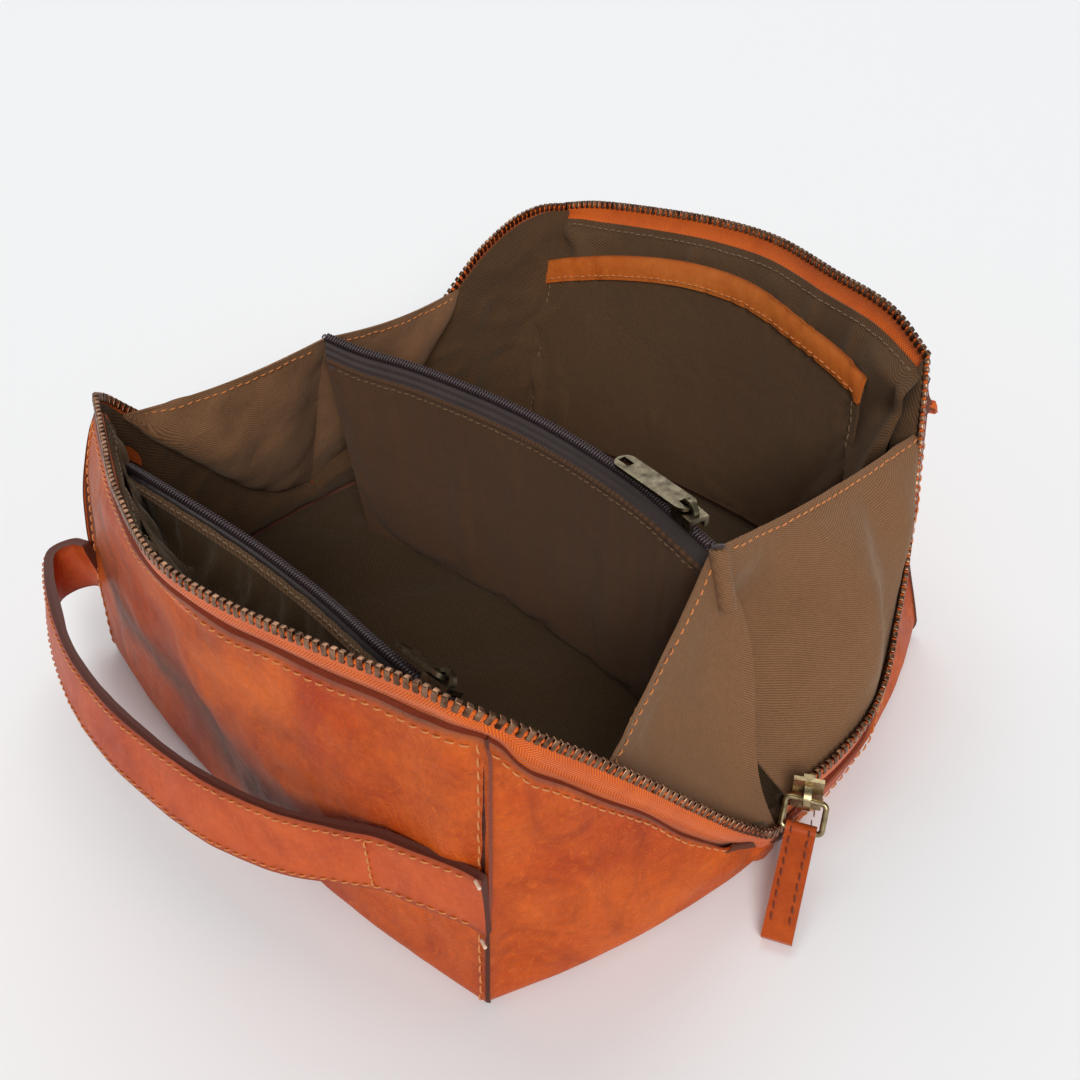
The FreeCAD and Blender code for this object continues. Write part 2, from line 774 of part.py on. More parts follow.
def teeth_along(label, path, rises):
    """A row of teeth, one pitch apart, along a finely divided path."""
    teeth = []
    walked = 0.0
    wanted = dim("tooth_pitch") / 2
    for i in range(len(path) - 1):
        step = path[i + 1] - path[i]
        while walked + step.Length >= wanted:
            share = (wanted - walked) / step.Length
            teeth.append(tooth(lerp(path[i], path[i + 1], share), step, rises[i]))
            wanted += dim("tooth_pitch")
        walked += step.Length
    feature = doc.addObject("Part::Feature", label)
    feature.Shape = Part.makeCompound(teeth)
    return keep(feature, label)


def build_teeth():
    """The main zip's teeth, in runs along each wall and each side."""
    over = dim("tape_show") + dim("tooth_tall") / 2 + 3 * dim("layer_gap")
    fine = 200
    for wall in ("front", "rear"):
        facing = -1 if wall == "front" else 1
        middle = dim("leather_thick") + dim("layer_gap") + dim("cloth_thick") / 2
        lift = Vector(0, -facing * middle, over)
        places = side_places(-0.985, 0.985, fine)
        path = [wall_top(p, wall) + lift for p in places]
        teeth_along(f"{wall}_zip_teeth", path, [Vector(0, 0, 1)] * len(path))
        for side_name, side in SIDES.items():
            inset = Vector(-side * middle, 0, 0)
            run = side_places(facing * 0.965, facing * 0.13, fine)
            rises = [side_up(p, side) for p in run]
            path = [zip_edge(p, side) + r * over + inset for p, r in zip(run, rises)]
            teeth_along(f"{wall}_zip_teeth_{side_name}", path, rises)


def build_left_stop():
    """The metal clip that closes the main zip's far end."""
    stop = doc.addObject("Part::Box", "zip_end_stop")
    stop.Length = 2.4
    stop.Width = 6.0
    stop.Height = 4.0
    x = -(dim("corner_x") + dim("side_bow"))
    z = dim("zip_end_z") + dim("tape_show") + dim("layer_gap")
    keep(stop, "zip_end_stop", Placement(Vector(x + 1.3, -3.0, z), Rotation()))


# ---------------------------------------------------------------- main slider, ring and tab

# The slider faces out and towards the handle wall; its ring and tab hang a little further round.
SLIDER_TURN = -58.0
TAB_TURN = -65.0
FACING = Vector(math.cos(math.radians(SLIDER_TURN)), math.sin(math.radians(SLIDER_TURN)), 0)
HANGING = Vector(math.cos(math.radians(TAB_TURN)), math.sin(math.radians(TAB_TURN)), 0)
ACROSS = Vector(0, 0, 1).cross(HANGING)
CROWN_HOLE = 3.6
RING_DROOP = 60.0


def slider_place():
    """The middle of the main slider, at the zip's end."""
    x = dim("corner_x") + dim("side_bow") + 3.1
    return Vector(x, -3, dim("zip_end_z") + 10)


def build_main_slider():
    """The main zip's slider at its stop: front plate, back plate and crown in one casting."""
    body = new_body("main_slider")
    plate = new_sketch(body, "main_slider_plate", "YZ_Plane")
    rectangle(plate, "dims.slider_wide", "dims.slider_long")
    pad_of(body, plate, "1.6")
    back = new_sketch(body, "main_slider_back", "YZ_Plane", height="-2.4")
    rectangle(back, "dims.slider_wide * 0.36", "dims.slider_long * 0.8")
    pad_of(body, back, "3.2")
    crown = new_sketch(body, "main_slider_crown", "XZ_Plane")
    crown.addGeometry(arc_through((1.5, -4.6), (6.5, 0), (1.5, 4.6)))
    crown.addGeometry(Part.LineSegment(Vector(1.5, 4.6, 0), Vector(1.5, 3.3, 0)))
    crown.addGeometry(arc_through((1.5, -3.3), (5.2, 0), (1.5, 3.3)))
    crown.addGeometry(Part.LineSegment(Vector(1.5, -3.3, 0), Vector(1.5, -4.6, 0)))
    bridge = body.newObject("PartDesign::Pad", "main_slider_bridge")
    bridge.Profile = crown
    bridge.Length = 2.2
    bridge.Midplane = True
    keep(body, "main_slider", Placement(slider_place(), Rotation(Vector(0, 0, 1), SLIDER_TURN)))


def placed_along(x_way, y_way, origin):
    """A placement whose local X and Y axes run along two given directions."""
    z_way = x_way.cross(y_way)
    return Placement(
        FreeCAD.Matrix(
            x_way.x, y_way.x, z_way.x, origin.x,
            x_way.y, y_way.y, z_way.y, origin.y,
            x_way.z, y_way.z, z_way.z, origin.z,
            0, 0, 0, 1,
        )
    )


def ring_hang():
    """Where the ring starts, in the crown, and the way it hangs."""
    droop = math.radians(RING_DROOP)
    start = slider_place() + FACING * CROWN_HOLE
    return start, HANGING * math.cos(droop) + Vector(0, 0, -math.sin(droop))


def build_ring():
    """A rounded wire link: its upper limb runs through the crown, its lower one carries the tab."""
    body = new_body("pull_ring")
    path = new_sketch(body, "pull_ring_path")
    long, half, round_by = dim("ring_long"), dim("ring_half"), dim("ring_corner")
    flat = half - round_by
    diagonal = round_by * math.sqrt(0.5)
    corners = []
    for side in (1, -1):
        near = (round_by - diagonal, side * (flat + diagonal))
        far = (long - round_by + diagonal, side * (flat + diagonal))
        corners.append((near, far))
    (near_right, far_right), (near_left, far_left) = corners
    pieces = [
        Part.LineSegment(Vector(0, 0, 0), Vector(0, flat, 0)),
        arc_through((0, flat), near_right, (round_by, half)),
        Part.LineSegment(Vector(round_by, half, 0), Vector(long - round_by, half, 0)),
        arc_through((long - round_by, half), far_right, (long, flat)),
        Part.LineSegment(Vector(long, flat, 0), Vector(long, -flat, 0)),
        arc_through((long, -flat), far_left, (long - round_by, -half)),
        Part.LineSegment(Vector(long - round_by, -half, 0), Vector(round_by, -half, 0)),
        arc_through((round_by, -half), near_left, (0, -flat)),
        Part.LineSegment(Vector(0, -flat, 0), Vector(0, 0, 0)),
    ]
    for piece in pieces:
        path.addGeometry(piece)
    wire = new_sketch(body, "pull_ring_wire", "XZ_Plane")
    circle = wire.addGeometry(Part.Circle(Vector(0, 0, 0), Vector(0, 0, 1), dim("ring_wire")))
    bind(wire, Sketcher.Constraint("Radius", circle, dim("ring_wire")), "dims.ring_wire")
    doc.recompute()
    pipe = body.newObject("PartDesign::AdditivePipe", "pull_ring_pipe")
    pipe.Profile = wire
    pipe.Spine = (path, [f"Edge{i + 1}" for i in range(len(pieces))])
    start, hang = ring_hang()
    keep(body, "pull_ring", placed_along(hang, ACROSS, start))


def build_tab():
    """The leather tab: a strip folded round the ring's lower limb, down to the floor."""
    start, hang = ring_hang()
    eye_middle = start + hang * dim("ring_long")
    drop = eye_middle.z - dim("tab_thick") * 0.5 - 0.5
    dip = math.asin(drop / dim("tab_length"))
    way = HANGING * math.cos(dip) + Vector(0, 0, -math.sin(dip))
    wide, thick = "dims.tab_wide", "dims.tab_thick"
    strip = doc.addObject("Part::Box", "pull_tab_strip")
    strip.setExpression("Length", "dims.tab_length")
    strip.setExpression("Width", wide)
    strip.setExpression("Height", thick)
    strip.setExpression(".Placement.Base.y", f"-{wide} / 2")
    strip.setExpression(".Placement.Base.z", f"-{thick} / 2")
    cylinders = {}
    for name, radius, spare in (("fold", "dims.tab_fold", "0"), ("eye", "dims.ring_wire + 0.35", "2")):
        round_part = doc.addObject("Part::Cylinder", f"pull_tab_{name}")
        round_part.setExpression("Radius", radius)
        round_part.setExpression("Height", f"{wide} + {spare}")
        round_part.Placement = Placement(Vector(0, 0, 0), Rotation(Vector(1, 0, 0), -90))
        round_part.setExpression(".Placement.Base.y", f"-({wide} + {spare}) / 2")
        cylinders[name] = round_part
    folded = doc.addObject("Part::Fuse", "pull_tab_folded")
    folded.Base = strip
    folded.Tool = cylinders["fold"]
    tab = doc.addObject("Part::Cut", "pull_tab")
    tab.Base = folded
    tab.Tool = cylinders["eye"]
    keep(tab, "pull_tab", placed_along(way, ACROSS, eye_middle))


# ---------------------------------------------------------------- the carry handle

# The strap's middle line: round the front from where it leaves its sewn right end, and back
# to the left corner, where its end is sewn into the seam.
HANDLE_ROUTE = [
    Vector(76.0, -116.75, 44.0),
    Vector(62.0, -123.2, 41.2),
    Vector(44.0, -130.6, 37.4),
    Vector(18.0, -137.5, 34.6),
    Vector(-10.0, -141.0, 33.8),
    Vector(-38.0, -142.0, 33.8),
    Vector(-64.0, -139.5, 34.4),
    Vector(-88.0, -133.0, 35.0),
    Vector(-105.0, -127.0, 35.5),
    Vector(-116.4, -121.5, 36.0),
    Vector(-119.4, -117.3, 36.5),
    Vector(-118.6, -113.6, 37.0),
]
# The sewn right end: flat on the handle wall.
HANDLE_ANCHOR = [
    Vector(102.0, -108.6, 45.5),
    Vector(95.0, -110.8, 45.2),
    Vector(86.0, -113.6, 44.8),
    Vector(77.0, -116.1, 44.1),
]


def strap_ply(label, route, start, facing, steps):
    """One ply of the strap: start is its distance off the middle line, facing its side."""
    line = Part.BSplineCurve()
    line.interpolate(route)
    first, last = line.FirstParameter, line.LastParameter
    half = dim("handle_wide") / 2
    lows, highs, offsets = [], [], []
    for i in range(steps + 1):
        at = first + (last - first) * i / steps
        point = line.value(at)
        along = Vector(*line.tangent(at)[0])
        outward = Vector(0, 0, 1).cross(along).normalize()
        width = outward.cross(along).normalize()
        lows.append(point + outward * start - width * half)
        highs.append(point + outward * start + width * half)
        offsets.append(outward * (dim("handle_ply") * facing))
    ribbon(label, lows, highs, offsets)


def build_handle():
    """Two plies of leather sewn together along both edges, and the strap's sewn-down end."""
    for label, start, facing in (("outer", 0.05, 1), ("inner", -0.05, -1)):
        strap_ply(f"handle_{label}_ply", HANDLE_ROUTE, start, facing, 40)
        strap_ply(f"handle_end_{label}_ply", HANDLE_ANCHOR, start, facing, 8)


# ---------------------------------------------------------------- assembly

base_panel("base_leather", "0", LEATHER, "0")
base_panel("base_lining", "dims.leather_thick + 0.2", CLOTH, "4.4")
build_wall("front")
build_wall("rear")
for side_name in SIDES:
    build_side(side_name)
    build_gusset(side_name)
    for wall in ("front", "rear"):
        build_corner_seam(wall, side_name)
build_divider()
build_divider_zip()
build_front_pocket()
build_pocket_zip()
build_slip_pocket()
build_teeth()
build_left_stop()
build_main_slider()
build_ring()
build_tab()
build_handle()
doc.recompute()

for obj in doc.Objects:
    if "Invalid" in obj.State or "Error" in obj.State:
        raise RuntimeError(f"{obj.Label} did not recompute: {obj.State}")
for obj in SUB_PARTS:
    if obj.Shape.isNull() or not obj.Shape.isValid():
        raise RuntimeError(f"{obj.Label} has no valid shape")

os.makedirs("parts", exist_ok=True)
for obj in SUB_PARTS:
    obj.Shape.exportStep(f"parts/{obj.Label}.step")
print(f"{len(SUB_PARTS)} sub-parts written")
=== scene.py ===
import math

import bmesh
import bpy
import numpy as np
from mathutils import Matrix, Vector


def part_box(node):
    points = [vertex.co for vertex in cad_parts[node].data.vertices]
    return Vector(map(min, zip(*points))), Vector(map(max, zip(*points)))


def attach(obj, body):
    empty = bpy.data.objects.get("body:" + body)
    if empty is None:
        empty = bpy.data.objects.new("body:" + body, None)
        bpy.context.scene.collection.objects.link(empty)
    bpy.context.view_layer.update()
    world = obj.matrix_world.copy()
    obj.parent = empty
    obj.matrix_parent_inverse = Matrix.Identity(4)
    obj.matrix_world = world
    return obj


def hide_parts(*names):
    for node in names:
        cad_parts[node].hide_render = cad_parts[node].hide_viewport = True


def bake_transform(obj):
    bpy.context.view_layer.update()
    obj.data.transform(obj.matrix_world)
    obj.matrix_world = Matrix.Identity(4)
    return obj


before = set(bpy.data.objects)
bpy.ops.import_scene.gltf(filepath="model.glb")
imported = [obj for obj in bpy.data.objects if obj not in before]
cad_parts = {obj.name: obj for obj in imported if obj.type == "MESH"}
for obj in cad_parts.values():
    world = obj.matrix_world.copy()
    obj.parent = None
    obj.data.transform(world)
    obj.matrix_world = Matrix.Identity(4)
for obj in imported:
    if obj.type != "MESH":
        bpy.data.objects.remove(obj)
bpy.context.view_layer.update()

# Everything here is worked out in millimetres and put into Blender in metres.
MM = 0.001
UP = np.array([0.0, 0.0, 1.0])
# How thick the bag's leather and its cloth are.
LEATHER = 1.8
CLOTH = 0.8


# ---------------------------------------------------------------- camera and light


# Where the camera stands, how far it is turned, tilted and rolled in degrees, and its lens.
CAMERA_AT = (248.6, -214.3, 292.7)
CAMERA_ANGLES = (47.19, 36.78, -2.12)
CAMERA_LENS = 37.97


def make_camera():
    """The camera, above the handle wall's right end and looking down into the bag."""
    turn, tilt, roll = (math.radians(angle) for angle in CAMERA_ANGLES)
    level = Vector((math.cos(turn), math.sin(turn), 0))
    view = Vector((-math.sin(turn) * math.cos(tilt), math.cos(turn) * math.cos(tilt), -math.sin(tilt)))
    over = level.cross(view)
    right = level * math.cos(roll) + over * math.sin(roll)
    top = over * math.cos(roll) - level * math.sin(roll)
    lens = bpy.data.cameras.new("camera")
    lens.lens = CAMERA_LENS
    lens.sensor_width = 36
    lens.clip_start = 0.01
    camera = bpy.data.objects.new("camera", lens)
    matrix = Matrix((right, top, -view)).transposed().to_4x4()
    matrix.translation = Vector(CAMERA_AT) * MM
    camera.matrix_world = matrix
    bpy.context.scene.collection.objects.link(camera)
    bpy.context.scene.camera = camera


def add_light(name, way, spread, strength):
    """A soft light that shines from far off along way; spread is its width in degrees."""
    lamp = bpy.data.lights.new(name, "SUN")
    lamp.angle = math.radians(spread)
    lamp.energy = strength
    light = bpy.data.objects.new(name, lamp)
    light.rotation_euler = Vector(way).to_track_quat("-Z", "Y").to_euler()
    bpy.context.scene.collection.objects.link(light)


def make_studio():
    """A pale floor, a pale sky and soft lights."""
    world = bpy.data.worlds.new("studio")
    world.use_nodes = True
    sky = world.node_tree.nodes["Background"]
    sky.inputs["Color"].default_value = (0.93, 0.94, 0.95, 1)
    sky.inputs["Strength"].default_value = 0.36
    bpy.context.scene.world = world
    add_light("key", (-0.72, 0.6, -0.66), 30, 2.3)
    add_light("back", (0.6, -0.35, -0.8), 50, 1.05)
    bpy.ops.mesh.primitive_plane_add(size=6)
    floor = bpy.context.object
    floor.name = "floor"
    paper = bpy.data.materials.new("floor_paper")
    paper.use_nodes = True
    skin = paper.node_tree.nodes["Principled BSDF"]
    skin.inputs["Base Color"].default_value = (0.88, 0.885, 0.89, 1)
    skin.inputs["Roughness"].default_value = 0.9
    floor.data.materials.append(paper)


# ---------------------------------------------------------------- materials


class Skin:
    """A node-based material under construction."""

    def __init__(self, name, roughness=0.5, metallic=0.0, **sockets):
        self.material = bpy.data.materials.new(name)
        self.material.use_nodes = True
        self.tree = self.material.node_tree
        self.shader = self.tree.nodes["Principled BSDF"]
        self.shader.inputs["Roughness"].default_value = roughness
        self.shader.inputs["Metallic"].default_value = metallic
        for socket, value in sockets.items():
            self.shader.inputs[socket.replace("_", " ")].default_value = value
        self.place = self.node("ShaderNodeTexCoord").outputs["Object"]
        self.bump_from = None

    def node(self, kind, inputs=None, **settings):
        """A node with its settings and its inputs, each a number, a colour or another node's output."""
        made = self.tree.nodes.new(kind)
        for name, value in settings.items():
            setattr(made, name, value)
        for key, value in (inputs or {}).items():
            if isinstance(value, bpy.types.NodeSocket):
                self.tree.links.new(value, made.inputs[key])
            else:
                made.inputs[key].default_value = value
        return made

    def math(self, operation, first, second=0.0, third=0.0):
        return self.node("ShaderNodeMath", {0: first, 1: second, 2: third}, operation=operation).outputs[0]

    def noise(self, scale, detail=4.0, roughness=0.55, distortion=0.0):
        inputs = {
            "Vector": self.place,
            "Scale": scale,
            "Detail": detail,
            "Roughness": roughness,
            "Distortion": distortion,
        }
        return self.node("ShaderNodeTexNoise", inputs).outputs["Fac"]

    def cells(self, scale):
        """The distance to the nearest border between random cells."""
        inputs = {"Vector": self.place, "Scale": scale}
        return self.node("ShaderNodeTexVoronoi", inputs, feature="DISTANCE_TO_EDGE").outputs["Distance"]

    def stretch(self, low, high, value):
        """value spread from low..high to 0..1, clamped."""
        inputs = {"Value": value, "From Min": low, "From Max": high}
        return self.node("ShaderNodeMapRange", inputs).outputs["Result"]

    def mix(self, share, first, second):
        """Two colours mixed by share."""
        inputs = {0: share, 6: first, 7: second}
        return self.node("ShaderNodeMix", inputs, data_type="RGBA").outputs[2]

    def attribute(self, name, output="Fac"):
        return self.node("ShaderNodeAttribute", attribute_name=name).outputs[output]

    def colour(self, value):
        self.tree.links.new(value, self.shader.inputs["Base Color"])

    def rough(self, value):
        self.tree.links.new(value, self.shader.inputs["Roughness"])

    def bump(self, height, strength, depth):
        """Adds a layer of bump, depth in metres."""
        inputs = {"Height": height, "Strength": strength, "Distance": depth}
        if self.bump_from is not None:
            inputs["Normal"] = self.bump_from
        self.bump_from = self.node("ShaderNodeBump", inputs).outputs["Normal"]
        for link in list(self.shader.inputs["Normal"].links):
            self.tree.links.remove(link)
        self.tree.links.new(self.bump_from, self.shader.inputs["Normal"])

    def weave_uv(self):
        """The distances along and across the cloth, in metres."""
        vector = self.attribute("weave", "Vector")
        split = self.node("ShaderNodeSeparateXYZ", {0: vector})
        return split.outputs[0], split.outputs[1]


def leather(name, pale, main, deep, dark, grain=1.0, shine=0.1):
    """Waxed leather: cloudy colour, a pebbled grain, creases and dark burnish where it is rubbed."""
    skin = Skin(name, Coat_Weight=shine, Coat_Roughness=0.36, Specular_IOR_Level=0.14)
    clouds = skin.stretch(0.34, 0.68, skin.noise(17, 5, 0.6, 0.6))
    base = skin.mix(clouds, main, pale)
    patches = skin.stretch(0.47, 0.72, skin.noise(31, 4, 0.6, 1.2))
    base = skin.mix(skin.math("MULTIPLY", patches, 0.55), base, deep)
    crease_noise = skin.noise(70, 3, 0.5, 2.6)
    crease = skin.math("ABSOLUTE", skin.math("SUBTRACT", crease_noise, 0.5))
    crease_line = skin.stretch(0.028, 0.0, crease)
    base = skin.mix(skin.math("MULTIPLY", crease_line, 0.42), base, pale)
    fine = skin.noise(420, 3, 0.6)
    base = skin.mix(skin.math("MULTIPLY", skin.stretch(0.35, 0.7, fine), 0.22), base, deep)
    burnish = skin.attribute("burnish")
    rub_noise = skin.math("MULTIPLY_ADD", skin.noise(60, 4, 0.6), 1.2, -0.6)
    rubbed = skin.math("ADD", burnish, skin.math("MULTIPLY", rub_noise, burnish))
    base = skin.mix(skin.stretch(0.0, 1.0, rubbed), base, dark)
    skin.colour(base)
    pebble = skin.cells(620)
    wander = skin.cells(1500)
    skin.bump(skin.noise(55, 4, 0.55, 0.4), 0.30 * grain, 0.0016)
    skin.bump(crease_line, 0.22 * grain, -0.00035)
    skin.bump(skin.stretch(0.0, 0.22, pebble), 0.30 * grain, 0.00016)
    skin.bump(skin.stretch(0.0, 0.3, wander), 0.18 * grain, 0.00008)
    skin.rough(skin.math("MULTIPLY_ADD", skin.noise(120, 3), 0.26, 0.34))
    return skin.material


def cut_edge(name, colour):
    """The cut, dyed edge of a piece of leather."""
    skin = Skin(name, 0.62)
    fibres = skin.noise(900, 3, 0.7)
    skin.colour(skin.mix(fibres, [c * 0.55 for c in colour[:3]] + [1], colour))
    skin.bump(fibres, 0.5, 0.0003)
    return skin.material


def twill(name, light, dark, warm, pitch=0.0011, sheen=0.25):
    """Washed cotton twill: fine diagonal ribs with cloudy wear."""
    skin = Skin(name, 0.92, Sheen_Weight=sheen, Sheen_Roughness=0.5, Specular_IOR_Level=0.2)
    skin.shader.inputs["Sheen Tint"].default_value = (0.55, 0.45, 0.34, 1)
    along, across = skin.weave_uv()
    wobble = skin.math("MULTIPLY", skin.noise(260, 2), 0.0007)
    slant = skin.math("ADD", skin.math("MULTIPLY_ADD", along, 0.55, wobble), across)
    rib = skin.math("SINE", skin.math("MULTIPLY", slant, 2 * math.pi / pitch))
    thread = skin.math("SINE", skin.math("MULTIPLY", along, 2 * math.pi / (pitch * 0.62)))
    weave = skin.math("MULTIPLY_ADD", rib, 0.36, skin.math("MULTIPLY_ADD", thread, 0.12, 0.5))
    cloudy = skin.stretch(0.3, 0.72, skin.noise(24, 4, 0.6, 0.5))
    slub = skin.math("MULTIPLY_ADD", skin.noise(700, 3, 0.7), 0.5, -0.25)
    base = skin.mix(skin.math("ADD", weave, slub), dark, light)
    base = skin.mix(skin.math("MULTIPLY", cloudy, 0.45), base, warm)
    skin.colour(base)
    skin.bump(skin.noise(45, 4, 0.55, 0.5), 0.7, 0.0024)
    skin.bump(skin.noise(150, 3, 0.6, 1.5), 0.45, 0.0007)
    skin.bump(weave, 0.55, 0.00022)
    return skin.material


def herringbone(name, light, dark, pitch=0.00105, column=0.0022):
    """Woven zip tape: narrow columns of ribs that slant to and fro."""
    skin = Skin(name, 0.72, Sheen_Weight=0.15, Specular_IOR_Level=0.3)
    along, across = skin.weave_uv()
    zigzag = skin.math("PINGPONG", across, column)
    slant = skin.math("ADD", along, zigzag)
    rib = skin.math("SINE", skin.math("MULTIPLY", slant, 2 * math.pi / pitch))
    weave = skin.math("MULTIPLY_ADD", rib, 0.42, 0.5)
    worn = skin.noise(90, 4, 0.6)
    base = skin.mix(weave, dark, light)
    base = skin.mix(skin.math("MULTIPLY", skin.stretch(0.45, 0.75, worn), 0.45), base, dark)
    skin.colour(base)
    skin.bump(weave, 0.6, 0.0003)
    return skin.material


def metal(name, pale, dark, roughness=0.34):
    """Antiqued metal: dark and rubbed bright in random patches."""
    skin = Skin(name, roughness, 1.0)
    wear = skin.stretch(0.3, 0.7, skin.noise(300, 3, 0.6))
    skin.colour(skin.mix(wear, dark, pale))
    skin.rough(skin.math("MULTIPLY_ADD", skin.noise(900, 3), 0.24, roughness - 0.12))
    skin.bump(skin.noise(2600, 3), 0.15, 0.0001)
    return skin.material


def plastic(name, colour):
    """The dark nylon of a coil zip."""
    skin = Skin(name, 0.35)
    skin.colour(skin.mix(skin.noise(900, 2), colour, [c * 1.9 for c in colour[:3]] + [1]))
    return skin.material


def thread_skin(name, light, dark):
    """Waxed sewing thread, twisted."""
    skin = Skin(name, 0.6, Sheen_Weight=0.1)
    skin.colour(skin.mix(skin.noise(1300, 2), dark, light))
    skin.bump(skin.noise(3000, 2), 0.4, 0.0001)
    return skin.material


def paint(red, green, blue):
    """A colour given as it looks on a screen, 0 to 255, as the shader wants it."""
    made = []
    for value in (red, green, blue):
        share = value / 255
        made.append(((share + 0.055) / 1.055) ** 2.4 if value > 10 else share / 12.92)
    return made + [1]


TAN = leather(
    "tan_leather", paint(214, 100, 28), paint(168, 56, 14), paint(112, 30, 8), paint(92, 64, 52), 2.0
)
HANDLE = leather(
    "handle_leather", paint(206, 94, 40), paint(176, 64, 24), paint(134, 40, 14), paint(84, 34, 20), 0.7
)
TRIM = leather(
    "trim_leather", paint(206, 116, 50), paint(188, 92, 32), paint(160, 68, 20), paint(104, 46, 18), 0.35
)
TAB = leather(
    "tab_leather", paint(182, 76, 12), paint(160, 56, 6), paint(112, 34, 4), paint(80, 34, 18), 0.5, 0.3
)
EDGE = cut_edge("leather_edge", paint(138, 62, 38))
STRAP_EDGE = cut_edge("strap_edge", paint(92, 40, 24))
FLESH = cut_edge("leather_back", paint(104, 50, 28))
LINING = twill("olive_twill", paint(104, 74, 48), paint(60, 42, 26), paint(72, 50, 32))
# A darker copy of the olive lining: painted shade, for the cloth that lies in shadow on the bag's base and
# down in the handle wall's pocket mouth.
LINING_PAINTED_SHADE = twill("olive_twill_painted_shade", paint(88, 66, 42), paint(50, 36, 22), paint(62, 44, 28))
GUSSET = twill("gusset_twill", paint(146, 104, 72), paint(92, 64, 42), paint(114, 80, 54), 0.0008)
DIVIDER = twill("divider_twill", paint(104, 72, 50), paint(66, 44, 30), paint(76, 52, 36), 0.0009, 0.15)
TAPE = herringbone("orange_tape", paint(236, 112, 8), paint(172, 60, 0))
DARK_TAPE = herringbone("dark_zip_tape", paint(78, 60, 56), paint(42, 30, 30), 0.0006, 0.0015)
BRASS = metal("antique_brass", paint(164, 124, 96), paint(64, 38, 26), 0.32)
PALE_BRASS = metal("pale_brass", paint(186, 168, 130), paint(120, 104, 74), 0.3)
GUNMETAL = metal("gunmetal", paint(132, 122, 100), paint(72, 64, 50), 0.34)
NYLON = plastic("dark_coil", paint(52, 40, 42))
THREAD = thread_skin("orange_thread", paint(222, 142, 74), paint(170, 92, 38))
OLIVE_THREAD = thread_skin("olive_thread", paint(140, 108, 72), paint(92, 68, 42))
RUST_THREAD = thread_skin("rust_thread", paint(124, 52, 22), paint(80, 30, 12))
WHITE_THREAD = thread_skin("pale_thread", paint(240, 214, 190), paint(205, 160, 130))


# ---------------------------------------------------------------- fields, grids and meshes


def waves(points, size, seed, count=16):
    """A smooth random field, about -1 to 1, whose bumps are about size millimetres long."""
    pick = np.random.default_rng(seed)
    ways = pick.normal(size=(count, 3))
    ways *= (2 * np.pi / size * pick.uniform(0.55, 1.35, count) / np.linalg.norm(ways, axis=1))[:, None]
    shifts = pick.uniform(0, 2 * np.pi, count)
    return np.sin(points @ ways.T + shifts).sum(-1) * math.sqrt(2 / count) * 0.6


def creases(points, size, seed, sharp=3.0):
    """A field of soft ridges, 0 to 1, where a wave field passes through zero."""
    return np.exp(-((waves(points, size, seed) * sharp) ** 2))


def smooth(low, high, value):
    """0 below low, 1 above high, and an even ease between."""
    share = np.clip((value - low) / (high - low), 0, 1)
    return share * share * (3 - 2 * share)


def unit(vectors):
    return vectors / np.maximum(np.linalg.norm(vectors, axis=-1, keepdims=True), 1e-9)


def spline(keys, count):
    """count points, evenly spaced along a smooth curve through the key points."""
    keys = np.array(keys, float)
    ends = np.vstack([2 * keys[0] - keys[1], keys, 2 * keys[-1] - keys[-2]])
    fine = []
    for i in range(len(keys) - 1):
        a, b, c, d = ends[i : i + 4]
        s = np.linspace(0, 1, 40, endpoint=False)[:, None]
        slope = (c - a) * s
        bend = (2 * a - 5 * b + 4 * c - d) * s**2
        twist = (3 * b - a - 3 * c + d) * s**3
        fine.append(0.5 * (2 * b + slope + bend + twist))
    fine = np.vstack(fine + [keys[-1:]])
    return resample(fine, count)


def resample(path, count):
    """count evenly spaced points along a finely divided path."""
    walked = np.concatenate([[0], np.cumsum(np.linalg.norm(np.diff(path, axis=0), axis=1))])
    wanted = np.linspace(0, walked[-1], count)
    return np.stack([np.interp(wanted, walked, path[:, k]) for k in range(3)], 1)


def picked(line, at):
    """The points of a line at places counted in its own points."""
    return np.stack([np.interp(at, np.arange(len(line)), line[:, k]) for k in range(3)], 1)


def between(low, high, rows):
    """A grid whose rows run evenly from the line low to the line high."""
    rise = np.linspace(0, 1, rows)[:, None, None]
    return low[None] * (1 - rise) + high[None] * rise


def length_of(path):
    return float(np.linalg.norm(np.diff(path, axis=0), axis=1).sum())


def normals_of(grid):
    """Unit normals of a grid: columns cross rows."""
    along = np.gradient(grid, axis=1)
    over = np.gradient(grid, axis=0)
    return unit(np.cross(along, over))


def turned(grid, way):
    """A grid with its columns put in the order that makes its face look along way."""
    return grid[:, ::-1] if (normals_of(grid) * way).sum() < 0 else grid


def grid_lengths(grid):
    """The distance along each row and up each column, in metres."""
    steps = np.linalg.norm(np.diff(grid, axis=1), axis=2)
    along = np.concatenate([np.zeros((len(grid), 1)), np.cumsum(steps, axis=1)], axis=1)
    middle = grid.shape[1] // 2
    along = along - along[:, middle : middle + 1]
    rises = np.linalg.norm(np.diff(grid, axis=0), axis=2)
    over = np.concatenate([np.zeros((1, grid.shape[1])), np.cumsum(rises, axis=0)], axis=0)
    return along * MM, over * MM


def new_object(name, points, faces, skins, face_skins=None):
    """A mesh object from points in millimetres."""
    mesh = bpy.data.meshes.new(name)
    mesh.from_pydata((np.asarray(points).reshape(-1, 3) * MM).tolist(), [], faces)
    for skin in skins:
        mesh.materials.append(skin)
    if face_skins is not None:
        mesh.polygons.foreach_set("material_index", face_skins)
    mesh.polygons.foreach_set("use_smooth", [True] * len(mesh.polygons))
    mesh.update()
    made = bpy.data.objects.new(name, mesh)
    bpy.context.scene.collection.objects.link(made)
    return made


def give(made, name, values, kind="FLOAT"):
    """Stores one value, or one vector, for each point of a mesh."""
    attribute = made.data.attributes.new(name, kind, "POINT")
    key = "value" if kind == "FLOAT" else "vector"
    attribute.data.foreach_set(key, np.asarray(values, np.float32).ravel())


